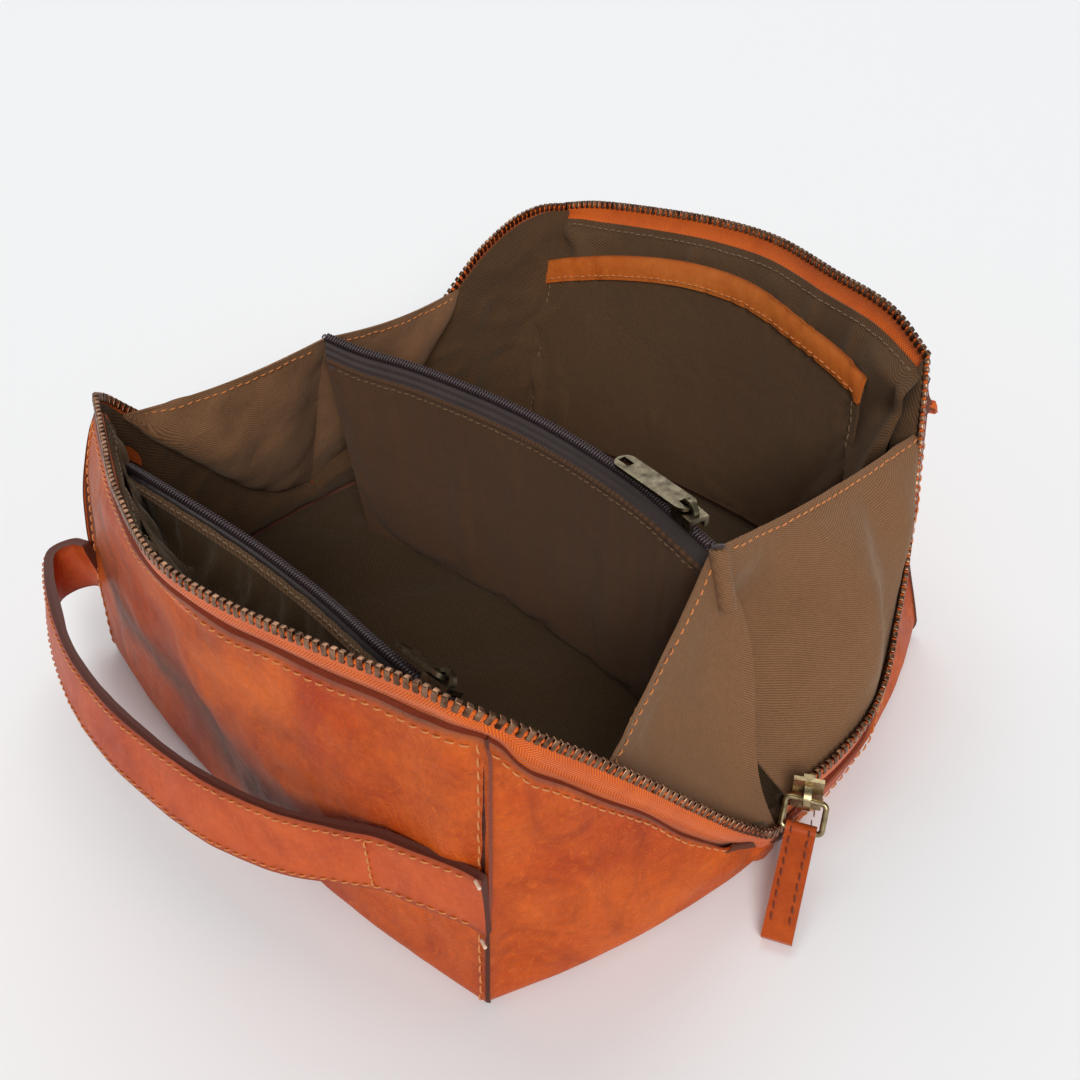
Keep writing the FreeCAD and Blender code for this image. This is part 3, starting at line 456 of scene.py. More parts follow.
def shell(name, grid, thick, skins, burnish=None, open_sides=()):
    """A closed sheet: the grid is its outer face, and its inner face lies thick inside.

    skins are the outer, inner and edge materials. open_sides names the sides with no edge
    face, "left" or "right", where another shell carries straight on.
    """
    rows, cols = grid.shape[:2]
    inner = grid - normals_of(grid) * thick
    points = np.concatenate([grid.reshape(-1, 3), inner.reshape(-1, 3)])
    index = np.arange(rows * cols).reshape(rows, cols)
    behind = index + rows * cols
    quads = np.stack([index[:-1, :-1], index[:-1, 1:], index[1:, 1:], index[1:, :-1]], -1).reshape(-1, 4)
    faces = [quads, quads[:, ::-1] + rows * cols]
    tags = [np.zeros(len(quads), int), np.ones(len(quads), int)]
    borders = {
        "bottom": (index[0, :], behind[0, :], False),
        "top": (index[-1, :], behind[-1, :], True),
        "left": (index[:, 0], behind[:, 0], True),
        "right": (index[:, -1], behind[:, -1], False),
    }
    for side, (near, far, flip) in borders.items():
        if side in open_sides:
            continue
        rim = np.stack([near[:-1], far[:-1], far[1:], near[1:]], -1)
        faces.append(rim[:, ::-1] if flip else rim)
        tags.append(np.full(len(rim), 2))
    made = new_object(name, points, np.concatenate(faces).tolist(), skins, np.concatenate(tags))
    mark_sharp_edges(made)
    along, over = grid_lengths(grid)
    weave = np.stack([along, over, np.zeros_like(along)], -1)
    give(made, "weave", np.concatenate([weave.reshape(-1, 3)] * 2), "FLOAT_VECTOR")
    rub = np.zeros((rows, cols)) if burnish is None else burnish
    give(made, "burnish", np.concatenate([rub.ravel()] * 2))
    return made


def mark_sharp_edges(made):
    """Keeps the cut edges crisp: smooth shading stops where the material changes."""
    mesh = made.data
    owners = {}
    for face in mesh.polygons:
        for key in face.edge_keys:
            owners.setdefault(key, []).append(face.material_index)
    flags = np.zeros(len(mesh.edges), bool)
    for i, edge in enumerate(mesh.edges):
        tags = owners.get(tuple(sorted(edge.vertices)), [])
        flags[i] = len(set(tags)) > 1
    attribute = mesh.attributes.get("sharp_edge") or mesh.attributes.new("sharp_edge", "BOOLEAN", "EDGE")
    attribute.data.foreach_set("value", flags)


def frames_along(path, facing):
    """Unit vectors along a path, across it, and out of the surface that faces facing."""
    along = unit(np.gradient(path, axis=0))
    facing = np.broadcast_to(np.asarray(facing, float), path.shape)
    across = unit(np.cross(facing, along))
    out = unit(np.cross(along, across))
    return along, across, out


def repeated(name, template, faces, places, along, across, out, skin):
    """Copies of a small template mesh, each placed on its own axes, joined in one object."""
    template = np.asarray(template)
    points = (
        places[:, None, :]
        + template[None, :, 0, None] * along[:, None, :]
        + template[None, :, 1, None] * across[:, None, :]
        + template[None, :, 2, None] * out[:, None, :]
    )
    count = len(template)
    all_faces = [[v + i * count for v in face] for i in range(len(places)) for face in faces]
    return new_object(name, points, all_faces, [skin])


def stitch_template(length, radius, sides=6, rings=7):
    """One sewn stitch: a short thread that rises out of the leather and dips back in."""
    points, faces = [], []
    for i in range(rings):
        share = i / (rings - 1) * 2 - 1
        size = radius * (1 - 0.35 * share**4)
        rise = radius * (0.75 - 1.5 * share**4)
        for k in range(sides):
            turn = 2 * math.pi * k / sides
            points.append((share * length / 2, size * math.cos(turn), rise + size * math.sin(turn)))
    for i in range(rings - 1):
        for k in range(sides):
            a, b = i * sides + k, i * sides + (k + 1) % sides
            faces.append((a, b, b + sides, a + sides))
    faces.append(tuple(range(sides))[::-1])
    faces.append(tuple(range((rings - 1) * sides, rings * sides)))
    return points, faces


def stitches(name, path, facing, skin, pitch=4.0, radius=0.38, share=0.74, slant=6.0, seed=1):
    """A row of stitches along a path, a little uneven."""
    pick = np.random.default_rng(seed)
    count = max(2, int(length_of(path) / pitch))
    fine = resample(path, count * 4 + 1)
    along, across, out = frames_along(fine, facing_on(facing, len(fine)))
    spots = np.arange(count) * 4 + 2
    turn = np.radians(slant + pick.normal(0, 4, count))[:, None]
    way = along[spots] * np.cos(turn) + across[spots] * np.sin(turn)
    side = across[spots] * np.cos(turn) - along[spots] * np.sin(turn)
    places = fine[spots] + across[spots] * pick.normal(0, 0.12, count)[:, None]
    points, faces = stitch_template(pitch * share, radius)
    return repeated(name, points, faces, places, way, side, out[spots], skin)


def facing_on(facing, count):
    """Surface directions given along a path, or one for all of it, at count even places."""
    facing = np.asarray(facing, float)
    if facing.ndim == 1:
        return facing
    return picked(facing, np.linspace(0, len(facing) - 1, count))


def tube(name, path, radius, skin, sides=8, facing=(0, 0, 1)):
    """A round wire along a path, with closed ends."""
    count = len(path)
    along = unit(np.gradient(path, axis=0))
    across = unit(np.cross(np.broadcast_to(np.asarray(facing, float), path.shape), along))
    out = np.cross(along, across)
    turns = 2 * np.pi * np.arange(sides) / sides
    ring = across[:, None] * np.cos(turns)[None, :, None] + out[:, None] * np.sin(turns)[None, :, None]
    points = path[:, None] + radius * ring
    faces = []
    for i in range(count - 1):
        for k in range(sides):
            a, b = i * sides + k, i * sides + (k + 1) % sides
            faces.append((a, b, b + sides, a + sides))
    faces.append(tuple(range(sides))[::-1])
    faces.append(tuple(range((count - 1) * sides, count * sides)))
    return new_object(name, points, faces, [skin])


def join(name, pieces):
    """Several objects made into one."""
    bpy.ops.object.select_all(action="DESELECT")
    for piece in pieces:
        piece.select_set(True)
    bpy.context.view_layer.objects.active = pieces[0]
    bpy.ops.object.join()
    pieces[0].name = name
    return pieces[0]


# ---------------------------------------------------------------- how pieces are set in place


def with_front(made):
    """A side's front half, by the handle wall: its placement is baked into its mesh."""
    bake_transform(made)


def with_rear(made):
    """A side's rear half, by the rear wall: its placement is baked into its mesh."""
    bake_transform(made)


def with_handle(made):
    """The strap: its placement is baked into its mesh."""
    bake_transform(made)


BENDS = {"front": with_front, "rear": with_rear, "handle": with_handle}


def finish_piece(made, body, replaces=()):
    """Hides the CAD nodes that a piece stands for, then bakes the piece in place or parents it to its body's
    empty.
    """
    if replaces:
        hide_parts(*replaces)
    if body in BENDS:
        BENDS[body](made)
    else:
        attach(made, body)


def sew(name, path, face, body, skin, pitch, radius, share=0.74, lift=0.1, replaces=()):
    """A row of stitches just off the surface that faces face, set in place with that surface's body."""
    threads = stitches(name, path + face * lift, face, skin, pitch, radius, share)
    finish_piece(threads, body, replaces)


def cloth_piece(name, grid, way, skin, body, replaces, thick=CLOTH, open_sides=()):
    """A sheet of cloth, its face turned to look along way. Returns its grid, so turned."""
    grid = turned(grid, way)
    made = shell(name, grid, thick, [skin] * 3, None, open_sides)
    finish_piece(made, body, replaces)
    return grid


# ---------------------------------------------------------------- the open bag's outline

SIDES = {"right": 1.0, "left": -1.0}
CORNER_X = 107.0
CORNER_Y = 110.0
FRONT_BOW = -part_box("base_leather")[0].y / MM - CORNER_Y
REAR_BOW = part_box("base_leather")[1].y / MM - CORNER_Y
SIDE_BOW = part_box("base_leather")[1].x / MM - CORNER_X
FOOT_ROLL = 6.0

# The zip's edge on each wall: where its teeth run, from the left corner to the right one.
FRONT_TOP = [
    (-104, -92, 105),
    (-74, -104, 105),
    (-42, -116, 106),
    (-10, -123, 106),
    (22, -121, 105.5),
    (54, -115, 107),
    (86, -106.8, 108.4),
    (97, -104.2, 107.8),
    (103.3, -99.4, 104.4),
]
REAR_TOP = [
    (-110, 142, 104),
    (-92, 146, 108),
    (-60, 149, 112),
    (-28, 149.8, 115.3),
    (4, 146.6, 117),
    (36, 137, 116),
    (66, 128, 114.5),
    (87, 120, 106),
]
# The zip's edge on the sides, from a wall's corner down to the zip's end at the middle.
SIDE_TOPS = {
    ("front", "right"): [
        (103.3, -99.4, 104.4),
        (110, -91, 97),
        (115, -76.5, 81.5),
        (121, -59, 62),
        (126, -45, 45),
        (130.2, -30, 28),
        (132.6, -17, 15),
        (132, -9, 11.5),
    ],
    ("rear", "right"): [
        (87, 120, 106),
        (90.5, 115, 99),
        (96, 107.5, 84),
        (106, 93, 59),
        (118, 72, 39.5),
        (130, 43, 26),
        (132, 20, 21.5),
        (131, -4, 21),
    ],
    ("front", "left"): [
        (-104, -92, 105),
        (-112, -84, 97),
        (-118, -66, 76),
        (-124, -48, 54),
        (-129, -30, 33),
        (-132, -13, 20),
        (-131, -2, 18),
    ],
    ("rear", "left"): [
        (-110, 142, 104),
        (-112, 124, 107),
        (-110, 100, 104.5),
        (-106, 70, 92),
        (-115, 47, 60),
        (-127, 24, 34),
        (-131, -2, 19),
    ],
}


def seam_way(wall, side_name):
    """The way a corner's turned-out edges point: on past the long wall's end."""
    facing = -1.0 if wall == "front" else 1.0
    return unit(np.array([SIDES[side_name], 0.12 * facing, 0.0]))


def corner_way(wall, side_name):
    """The way a corner bulges, half way between its wall's way and its side's."""
    facing = -1.0 if wall == "front" else 1.0
    return unit(np.array([SIDES[side_name], facing, 0.0]))


def foot_line(wall, count, shrink=0.0):
    """The foot of a long wall, from left to right."""
    share = np.linspace(-1, 1, count)
    side = -1 if wall == "front" else 1
    bow = FRONT_BOW if wall == "front" else REAR_BOW
    y = side * (CORNER_Y - shrink + bow * (1 - share**2))
    return np.stack([share * (CORNER_X - shrink), y, np.full(count, 0.35)], 1)


def side_foot(half, side_name, count):
    """Half of a side's foot, from a wall's corner to the middle."""
    side = SIDES[side_name]
    share = np.linspace(1, 0, count)
    way = -1 if half == "front" else 1
    x = side * (CORNER_X + SIDE_BOW * (1 - share**2))
    return np.stack([x, way * CORNER_Y * share, np.full(count, 0.35)], 1)


def rolled(foot, top, outward, rows, roll=FOOT_ROLL):
    """A grid that rolls up out of the floor at foot and then rises to top."""
    grid = []
    for turn in np.linspace(0, math.pi / 2, 7):
        grid.append(foot - outward * (roll * (1 - math.sin(turn))) + UP * (roll * (1 - math.cos(turn))))
    start = grid[-1]
    for share in np.linspace(0, 1, rows)[1:]:
        grid.append(start + (top - start) * share)
    return np.array(grid)


def straighten(path):
    """Smooths a path's wobble away, for the directions along it."""
    soft = path.copy()
    for _ in range(12):
        soft[1:-1] = (soft[:-2] + 2 * soft[1:-1] + soft[2:]) / 4
    return soft


CUT_DROP = 8.8
CORNER_DROP = 6.8
WALL_COLS = 150
WALL_ROWS = 60
SIDE_COLS = 80
WALL_FACE = {"front": np.array([0.0, -1.0, 0.0]), "rear": np.array([0.0, 1.0, 0.0])}
SIDE_FACE = {name: np.array([side, 0.0, 0.0]) for name, side in SIDES.items()}


class Edge:
    """One run of the bag's edge: its teeth line, its foot and the leather's cut edge between.

    facing is the way the run's panel faces, and ends are the ways its two ends face.
    """

    def __init__(self, teeth, foot, facing, ends, end_rises):
        self.teeth = teeth
        self.foot = foot
        self.facing = facing
        share = np.linspace(0, 1, len(teeth))[:, None]
        near, far = smooth(0.12, 0, share), smooth(0.88, 1, share)
        self.outward = unit(facing * (1 - near - far) + ends[0] * near + ends[1] * far)
        along = unit(np.gradient(straighten(teeth), axis=0))
        rise = unit(teeth - foot)
        rise = unit(rise - along * (rise * along).sum(1, keepdims=True))
        self.rise = unit(rise * (1 - near - far) + end_rises[0] * near + end_rises[1] * far)
        walked = share[:, 0] * length_of(teeth)
        from_end = np.minimum(walked, walked[::-1])
        self.scale = CORNER_DROP / CUT_DROP + (1 - CORNER_DROP / CUT_DROP) * smooth(0, 24, from_end)
        self.cut = self.at(CUT_DROP) + self.rise * waves(self.at(CUT_DROP), 26, 5)[:, None] * 0.5

    def at(self, drop):
        """The line drop below the teeth."""
        return self.teeth - self.rise * (drop * self.scale)[:, None]


def make_edges():
    """Every run of the bag's edge, by wall or by half and side."""
    corners = {}
    for wall, keys in (("front", FRONT_TOP), ("rear", REAR_TOP)):
        feet = foot_line(wall, 2)
        corners[wall, "left"] = unit(np.array(keys[0], float) - feet[0])
        corners[wall, "right"] = unit(np.array(keys[-1], float) - feet[1])
    edges = {}
    for wall, keys in (("front", FRONT_TOP), ("rear", REAR_TOP)):
        ends = [corner_way(wall, side_name) for side_name in ("left", "right")]
        rises = [corners[wall, side_name] for side_name in ("left", "right")]
        foot = foot_line(wall, WALL_COLS)
        edges[wall] = Edge(spline(keys, WALL_COLS), foot, WALL_FACE[wall], ends, rises)
    for (half, side_name), keys in SIDE_TOPS.items():
        facing = np.array([SIDES[side_name], 0.0, 0.0])
        rises = [corners[half, side_name], unit(np.array([0.0, 0.05, 1.0]))]
        foot = side_foot(half, side_name, SIDE_COLS)
        ends = [corner_way(half, side_name), facing]
        edges[half, side_name] = Edge(spline(keys, SIDE_COLS), foot, facing, ends, rises)
    return edges


EDGES = make_edges()


def leather_grid(key):
    """The outer face of one leather panel, from its rolled foot to its cut edge."""
    edge = EDGES[key]
    grid = rolled(edge.foot, edge.cut, edge.outward, WALL_ROWS)
    return settle_corners(grid, key)


def settle_corners(grid, key):
    """Moves a panel's corners out of line, as its seams sag."""
    if isinstance(key, str):
        return pushed(pushed(grid, key, "left", True), key, "right", False)
    return pushed(grid, *key, True)


def outward_normals(grid, outward):
    """A grid's normals, all turned to the outer side."""
    normals = normals_of(grid)
    if (normals * outward).sum() < 0:
        normals = -normals
    return normals


def sagged(grid, outward, seed, amount=1.0):
    """Gives leather its slack: broad dents, soft folds and small puckers, none at its seams."""
    normals = outward_normals(grid, outward)
    rows, cols = grid.shape[:2]
    rise = np.linspace(0, 1, rows)[:, None]
    along = np.linspace(0, 1, cols)[None, :]
    from_seams = smooth(0, 0.10, along) * smooth(0, 0.10, 1 - along)
    held = from_seams * smooth(0.04, 0.3, rise) * smooth(0, 0.12, 1 - rise)
    swell = waves(grid, 90, seed) * 2.6 + waves(grid, 42, seed + 1) * 1.1
    folds = creases(grid * np.array([1, 1, 0.5]), 60, seed + 2, 4.0) * 0.9
    pucker = waves(grid, 15, seed + 3) * 0.28 + waves(grid, 7, seed + 4) * 0.10
    return grid + normals * (held * amount * (swell + folds) + (0.25 + 0.75 * held) * pucker)[..., None]


def edge_rub(grid, reach=5.0, sides=True):
    """How burnished a panel is near its cut top edge and beside its seams."""
    along, over = grid_lengths(grid)
    from_top = (over[-1:, :] - over) / MM
    rub = 0.75 * np.exp(-((from_top / (reach * 0.38)) ** 2))
    if sides:
        from_left = (along - along[:, :1]) / MM
        from_right = (along[:, -1:] - along) / MM
        rub = np.maximum(rub, 0.2 * np.exp(-((np.minimum(from_left, from_right) / 2.5) ** 2)))
    return rub


# ---------------------------------------------------------------- leather

# How far each corner's flanges stand out, and how much of the leather's thickness they keep.
SEAM_LONG = {
    ("front", "right"): 2.0,
    ("front", "left"): 1.0,
    ("rear", "right"): 2.2,
    ("rear", "left"): 1.6,
}
FLANGE_THIN = 0.55
# How far each corner's seam is pushed out of line at its middle; the soft leather sags there.
CORNER_SAG = {
    ("front", "right"): 0.0,
    ("front", "left"): 8.0,
    ("rear", "right"): -8.0,
    ("rear", "left"): -3.0,
}


def corner_push(wall, side_name, rises):
    """How the seam of a corner is moved, at each of several heights from 0 to 1."""
    size = CORNER_SAG[wall, side_name] * np.sin(np.pi * rises**1.4)
    return size[:, None] * (corner_way(wall, side_name) * 0.6 + np.array([SIDES[side_name] * 0.4, 0, 0]))


def pushed(grid, wall, side_name, at_start):
    """The grid with its corner end moved with the seam, less and less further along it."""
    steps = grid if at_start else grid[:, ::-1]
    walked = np.linalg.norm(steps - steps[:, :1], axis=-1)
    share = np.exp(-((walked / 30) ** 2))
    if not at_start:
        share = share[:, ::-1]
    return grid + share[..., None] * corner_push(wall, side_name, np.linspace(0, 1, len(grid)))[:, None]


def seam_reach(wall, side_name, rows):
    """How far a corner's flange stands out at each height; it runs out just below the zip."""
    rise = np.linspace(0, 1, rows)[:, None, None]
    top = 0.82 if (wall, side_name) == ("rear", "right") else 0.94
    foot = smooth(0.3, 0.5, rise)
    return SEAM_LONG[wall, side_name] * (0.1 + 0.9 * smooth(top + 0.06, top, rise) * foot)


def thinned(grid, flanges):
    """The leather's thickness over a grid: it is pared down at the flanges."""
    thick = np.full((*grid.shape[:2], 1), LEATHER)
    if "left" in flanges:
        thick[:, :3] *= FLANGE_THIN
    if "right" in flanges:
        thick[:, -3:] *= FLANGE_THIN
    return thick


def with_flanges(grid, wall):
    """Turns a wall's two ends out into flanges that lie in the corner seams."""
    steps = np.array([0.35, 0.7, 1.0])
    left = seam_way(wall, "left") * seam_reach(wall, "left", len(grid))
    right = seam_way(wall, "right") * seam_reach(wall, "right", len(grid))
    before = [grid[:, :1] + left * s for s in steps[::-1]]
    after = [grid[:, -1:] + right * s for s in steps]
    return np.concatenate(before + [grid] + after, axis=1)


def build_wall_leather(wall):
    """A long wall's leather and its turned-out ends."""
    outward = WALL_FACE[wall]
    grid = sagged(leather_grid(wall), outward, 11 if wall == "front" else 31)
    rub = edge_rub(grid)
    if wall == "front":
        grid, rub = dent_handle_wall(grid, rub)
    grid = with_flanges(grid, wall)
    rub = np.pad(rub, ((0, 0), (3, 3)), mode="edge")
    flip = (normals_of(grid) * outward).sum() < 0
    if flip:
        grid, rub = grid[:, ::-1], rub[:, ::-1]
    made = shell(f"{wall}_wall_skin", grid, thinned(grid, ("left", "right")), [TAN, FLESH, EDGE], rub)
    finish_piece(made, f"{wall}_wall", [f"{wall}_wall_leather"])
    return grid if not flip else grid[:, ::-1]


def dent_handle_wall(grid, rub):
    """The dark rubbed stripe that the handle has worn across its wall, in a shallow hollow."""
    x, z = grid[..., 0], grid[..., 2]
    line = 28 + 17 * ((23 - x) / 100) ** 2 + waves(grid, 60, 3) * 2
    off = z - line
    ends = smooth(64, 30, x)
    stripe = np.exp(-((off / np.where(off > 0, 17, 12)) ** 2)) * ends
    hollow = np.exp(-((off / 24) ** 2)) * ends
    # A broad, faint darkening just above the stripe, stronger towards the wall's left.
    broad_darkening = 0.3 * np.exp(-(((off - 14) / 30) ** 2)) * smooth(90, 20, x)
    dented = grid + np.array([0, 1, 0]) * (hollow * 2.0)[..., None]
    return dented, np.maximum(rub, np.maximum(stripe * 0.8, broad_darkening))


def build_side_leather(side_name):
    """A side panel's leather, in two halves that meet at the zip's end."""
    outward = SIDE_FACE[side_name]
    halves = {}
    for half in ("front", "rear"):
        grid = sagged(leather_grid((half, side_name)), outward, 47 if side_name == "right" else 61, 0.8)
        middle = middle_line(side_name)
        ease = smooth(0.8, 1.0, np.linspace(0, 1, grid.shape[1]))[None, :, None]
        grid = grid * (1 - ease) + middle[:, None, :] * ease
        halves[half] = grid
    for half, grid in halves.items():
        rub = edge_rub(grid, 4.5, sides=False)
        from_seam = grid_lengths(grid)[0]
        from_seam = (from_seam - from_seam[:, :1]) / MM
        rub = np.maximum(rub, 0.25 * np.exp(-((from_seam / 2.5) ** 2)))
        way = seam_way(half, side_name)
        steps = np.array([1.0, 0.7, 0.35])
        reach = seam_reach(half, side_name, len(grid))[:, 0]
        shift = unit(np.cross(way, UP)) * (LEATHER * FLANGE_THIN + 0.1)
        shift = shift if shift[1] * (-1 if half == "front" else 1) < 0 else -shift
        flange = np.stack([grid[:, 0] + way * reach * s + shift for s in steps], 1)
        full = np.concatenate([flange, grid], axis=1)
        rub = np.pad(rub, ((0, 0), (3, 0)), mode="edge")
        open_side = "right"
        if (normals_of(full) * outward).sum() < 0:
            full, rub, open_side = full[:, ::-1], rub[:, ::-1], "left"
        thick = thinned(full, ["right" if open_side == "left" else "left"])
        made = shell(f"side_{side_name}_{half}_skin", full, thick, [TAN, FLESH, EDGE], rub, [open_side])
        replaces = [f"side_panel_{side_name}"] if half == "front" else []
        finish_piece(made, half, replaces)
    return halves


def middle_line(side_name):
    """The side panel's middle line, where its two halves meet."""
    front = leather_grid(("front", side_name))[:, -1]
    rear = leather_grid(("rear", side_name))[:, -1]
    return (front + rear) / 2


def build_base():
    """The flat leather base that the bag stands on, and the lining over it."""
    cols, rows = 60, 60
    shrink = FOOT_ROLL - 1.0
    front = foot_line("front", cols, shrink)
    rear = foot_line("rear", cols, shrink)
    share = np.linspace(0, 1, rows)[:, None]
    grid = between(front, rear, rows)
    grid[..., 0] += (SIDE_BOW - 0.5) * (1 - (2 * share - 1) ** 2) * np.linspace(-1, 1, cols)[None]
    under = grid.copy()
    under[..., 2] = 0.05
    made = shell("base_skin", under[:, ::-1], LEATHER, [TAN, FLESH, EDGE])
    finish_piece(made, "bag", ["base_leather"])
    cloth = grid * np.array([1.03, 1.02, 1])
    edge = smooth(0, 0.12, share) * smooth(0, 0.12, 1 - share)
    edge = edge * smooth(0, 0.12, np.linspace(0, 1, cols))[None]
    edge = edge * smooth(0, 0.12, np.linspace(1, 0, cols))[None]
    cloth[..., 2] = 3.3 + edge * (1.0 + waves(grid, 46, 77) * 0.9 + creases(grid, 60, 78, 4) * 1.3)
    # The base's cloth takes the lining's darker copy: painted shade, as the base lies in shadow deep in the
    # bag.
    lining = shell("base_cloth", cloth, CLOTH, [LINING_PAINTED_SHADE] * 3)
    finish_piece(lining, "bag", ["base_lining"])


def build_corner_threads(wall_grids):
    """The stitches that hold each corner seam, on the long walls' flanges."""
    for wall, grid in wall_grids.items():
        normals = outward_normals(grid, WALL_FACE[wall])
        for side_name, column in (("left", 4), ("right", -5)):
            name = f"corner_threads_{wall}_{side_name}"
            path, face = grid[4:-1, column], normals[4:-1, column]
            nodes = [f"corner_seam_{wall}_{side_name}"]
            sew(name, path, face, f"{wall}_wall", THREAD, 4.0, 0.33, replaces=nodes)


def build_edge_threads(wall_grids, side_grids):
    """The row of stitches below the leather's cut edge, right round the mouth."""
    for wall, grid in wall_grids.items():
        path = line_below(grid, 3.6)[5:-5]
        face = outward_normals(grid, WALL_FACE[wall])[-3, 5:-5]
        sew(f"edge_threads_{wall}", path, face, f"{wall}_wall", THREAD, 3.7, 0.3)
    for side_name, halves in side_grids.items():
        for half, grid in halves.items():
            path = line_below(grid, 3.4)[1:-2]
            face = outward_normals(grid, SIDE_FACE[side_name])[-3, 1:-2]
            sew(f"edge_threads_{side_name}_{half}", path, face, half, THREAD, 3.7, 0.3)


def line_below(grid, drop):
    """The line drop below a panel's cut edge, on its face."""
    down = unit(grid[-4] - grid[-1])
    return grid[-1] + down * drop


# ---------------------------------------------------------------- main zip

TOOTH_PITCH = 2.75


def tooth_template():
    """One metal tooth: a bevelled block whose upper half is thinner and a little longer along the zip."""
    mesh = bmesh.new()
    bmesh.ops.create_cube(mesh, size=1.0)
    for vertex in mesh.verts:
        vertex.co.x *= 1.7
        vertex.co.y *= 2.3
        vertex.co.z *= 3.1
        if vertex.co.z > 0:
            vertex.co.y *= 0.72
            vertex.co.x *= 1.12
    bmesh.ops.bevel(mesh, geom=mesh.edges[:], offset=0.3, segments=2, affect="EDGES", profile=0.6)
    mesh.verts.index_update()
    points = [tuple(v.co) for v in mesh.verts]
    faces = [[v.index for v in f.verts] for f in mesh.faces]
    mesh.free()
    return points, faces


TOOTH = tooth_template()


def tape_grid(edge, rows=10):
    """The zip tape's outer face, from behind the leather up to its teeth."""
    drops = np.linspace(CUT_DROP + 7.5, 0.6, rows)
    grid = np.array([edge.at(d) for d in drops])
    normals = outward_normals(grid, edge.facing)
    inset = LEATHER * smooth(CUT_DROP - 3.5, CUT_DROP + 0.5, drops)[:, None, None] + 0.5
    along = np.linspace(0, 1, grid.shape[1])
    ripple = waves(edge.teeth, 34, 9) * np.sin(np.pi * along) * 0.4
    return grid - normals * inset + normals * ripple[None, :, None]


def build_zip_run(key, body, tape_node, teeth_node, label):
    """The tape, its corded edge and the teeth of one run of the main zip."""
    edge = EDGES[key]
    grid = cloth_piece(
        f"{label}_tape",
        tape_grid(edge),
        edge.facing,
        TAPE,
        body,
        [tape_node],
        open_sides=["left", "right"],
    )
    line = grid[-1]
    face = normals_of(grid)[-1]
    count = int(length_of(line) / TOOTH_PITCH)
    fine = resample(line, count * 4 + 1)
    along, across, out = frames_along(fine, facing_on(face, len(fine)))
    rise = across if (across @ UP).sum() > 0 else -across
    spots = np.arange(count) * 4 + 2
    pick = np.random.default_rng(5)
    tilt = pick.normal(0, 0.05, count)[:, None]
    ways = unit(along[spots] + rise[spots] * tilt)
    rises = unit(rise[spots] - along[spots] * tilt)
    places = fine[spots] + rises * 0.5 - out[spots] * (CLOTH / 2)
    teeth = repeated(f"{label}_metal_teeth", TOOTH[0], TOOTH[1], places, ways, out[spots], rises, BRASS)
    finish_piece(teeth, body, [teeth_node])
    cord_path = line - face * (CLOTH / 2) + rise_of(grid) * 0.2
    cord = tube(f"{label}_tape_cord", cord_path, 0.75, TAPE, facing=edge.facing)
    give(cord, "weave", np.zeros((len(cord.data.vertices), 3)), "FLOAT_VECTOR")
    finish_piece(cord, body)


def rise_of(grid):
    """The direction up a grid at its top edge."""
    return unit(grid[-1] - grid[-3])


def build_main_zip():
    """Every run of the main zip."""
    for wall in ("front", "rear"):
        build_zip_run(wall, f"{wall}_wall", f"{wall}_zip_tape", f"{wall}_zip_teeth", f"{wall}_zip")
    for half, side_name in SIDE_TOPS:
        nodes = (f"{half}_zip_tape_{side_name}", f"{half}_zip_teeth_{side_name}")
        build_zip_run((half, side_name), half, *nodes, f"{half}_zip_{side_name}")


# ---------------------------------------------------------------- cloth

# How a sheet is let settle: the scale that suits the solver, its steps and its share of gravity.
SETTLE_SCALE = 10.0
SETTLE_STEPS = 22
SETTLE_GRAVITY = 0.4


def draped(grid, slack, cap, seed):
    """Lets a sheet of cloth settle: its edges are sewn down, and the rest folds with its slack.

    cap is how far a point may move, in millimetres.
    """
    rows, cols = grid.shape[:2]
    sewn = np.zeros((rows, cols), bool)
    sewn[[0, -1], :] = True
    sewn[:, [0, -1]] = True
    rough = waves(grid, 18, seed) * 0.5 + waves(grid, 8, seed + 1) * 0.15
    free = 1.0 - sewn.astype(float)
    start = grid + normals_of(grid) * (rough * free)[..., None]
    index = np.arange(rows * cols).reshape(rows, cols)
    quads = np.stack([index[:-1, :-1], index[:-1, 1:], index[1:, 1:], index[1:, :-1]], -1).reshape(-1, 4)
    made = new_object("settling_cloth", start * SETTLE_SCALE, quads.tolist(), [])
    group = made.vertex_groups.new(name="held")
    group.add([int(i) for i in index[sewn]], 1.0, "REPLACE")
    cloth = made.modifiers.new("cloth", "CLOTH")
    cloth.settings.quality = 5
    cloth.settings.mass = 0.3
    cloth.settings.tension_stiffness = 12
    cloth.settings.compression_stiffness = 12
    cloth.settings.shear_stiffness = 5
    cloth.settings.bending_stiffness = 0.8
    cloth.settings.shrink_min = -slack
    cloth.settings.vertex_group_mass = "held"
    cloth.settings.effector_weights.gravity = SETTLE_GRAVITY
    cloth.collision_settings.use_collision = False
    cloth.collision_settings.use_self_collision = False
    cloth.point_cache.frame_start = 1
    cloth.point_cache.frame_end = SETTLE_STEPS
    for step in range(1, SETTLE_STEPS + 1):
        bpy.context.scene.frame_set(step)
    shape = made.evaluated_get(bpy.context.evaluated_depsgraph_get()).to_mesh()
    found = np.zeros(rows * cols * 3)
    shape.vertices.foreach_get("co", found)
    settled = found.reshape(rows, cols, 3) / MM / SETTLE_SCALE
    bpy.data.objects.remove(made)
    bpy.context.scene.frame_set(1)
    move = settled - grid
    size = np.linalg.norm(move, axis=-1, keepdims=True)
    return grid + move * (cap * np.tanh(size / cap) / np.maximum(size, 1e-6))


# The divider's top corners.
DIVIDER_ENDS = {"right": np.array([92.0, -2.0, 93.0]), "left": np.array([-99.0, -1.6, 95.0])}

# Where along a side's half, as a share of its length, its gusset starts.
GUSSET_STARTS = {
    ("front", "right"): 0.34,
    ("rear", "right"): 0.15,
    ("front", "left"): 0.15,
    ("rear", "left"): 0.42,
}
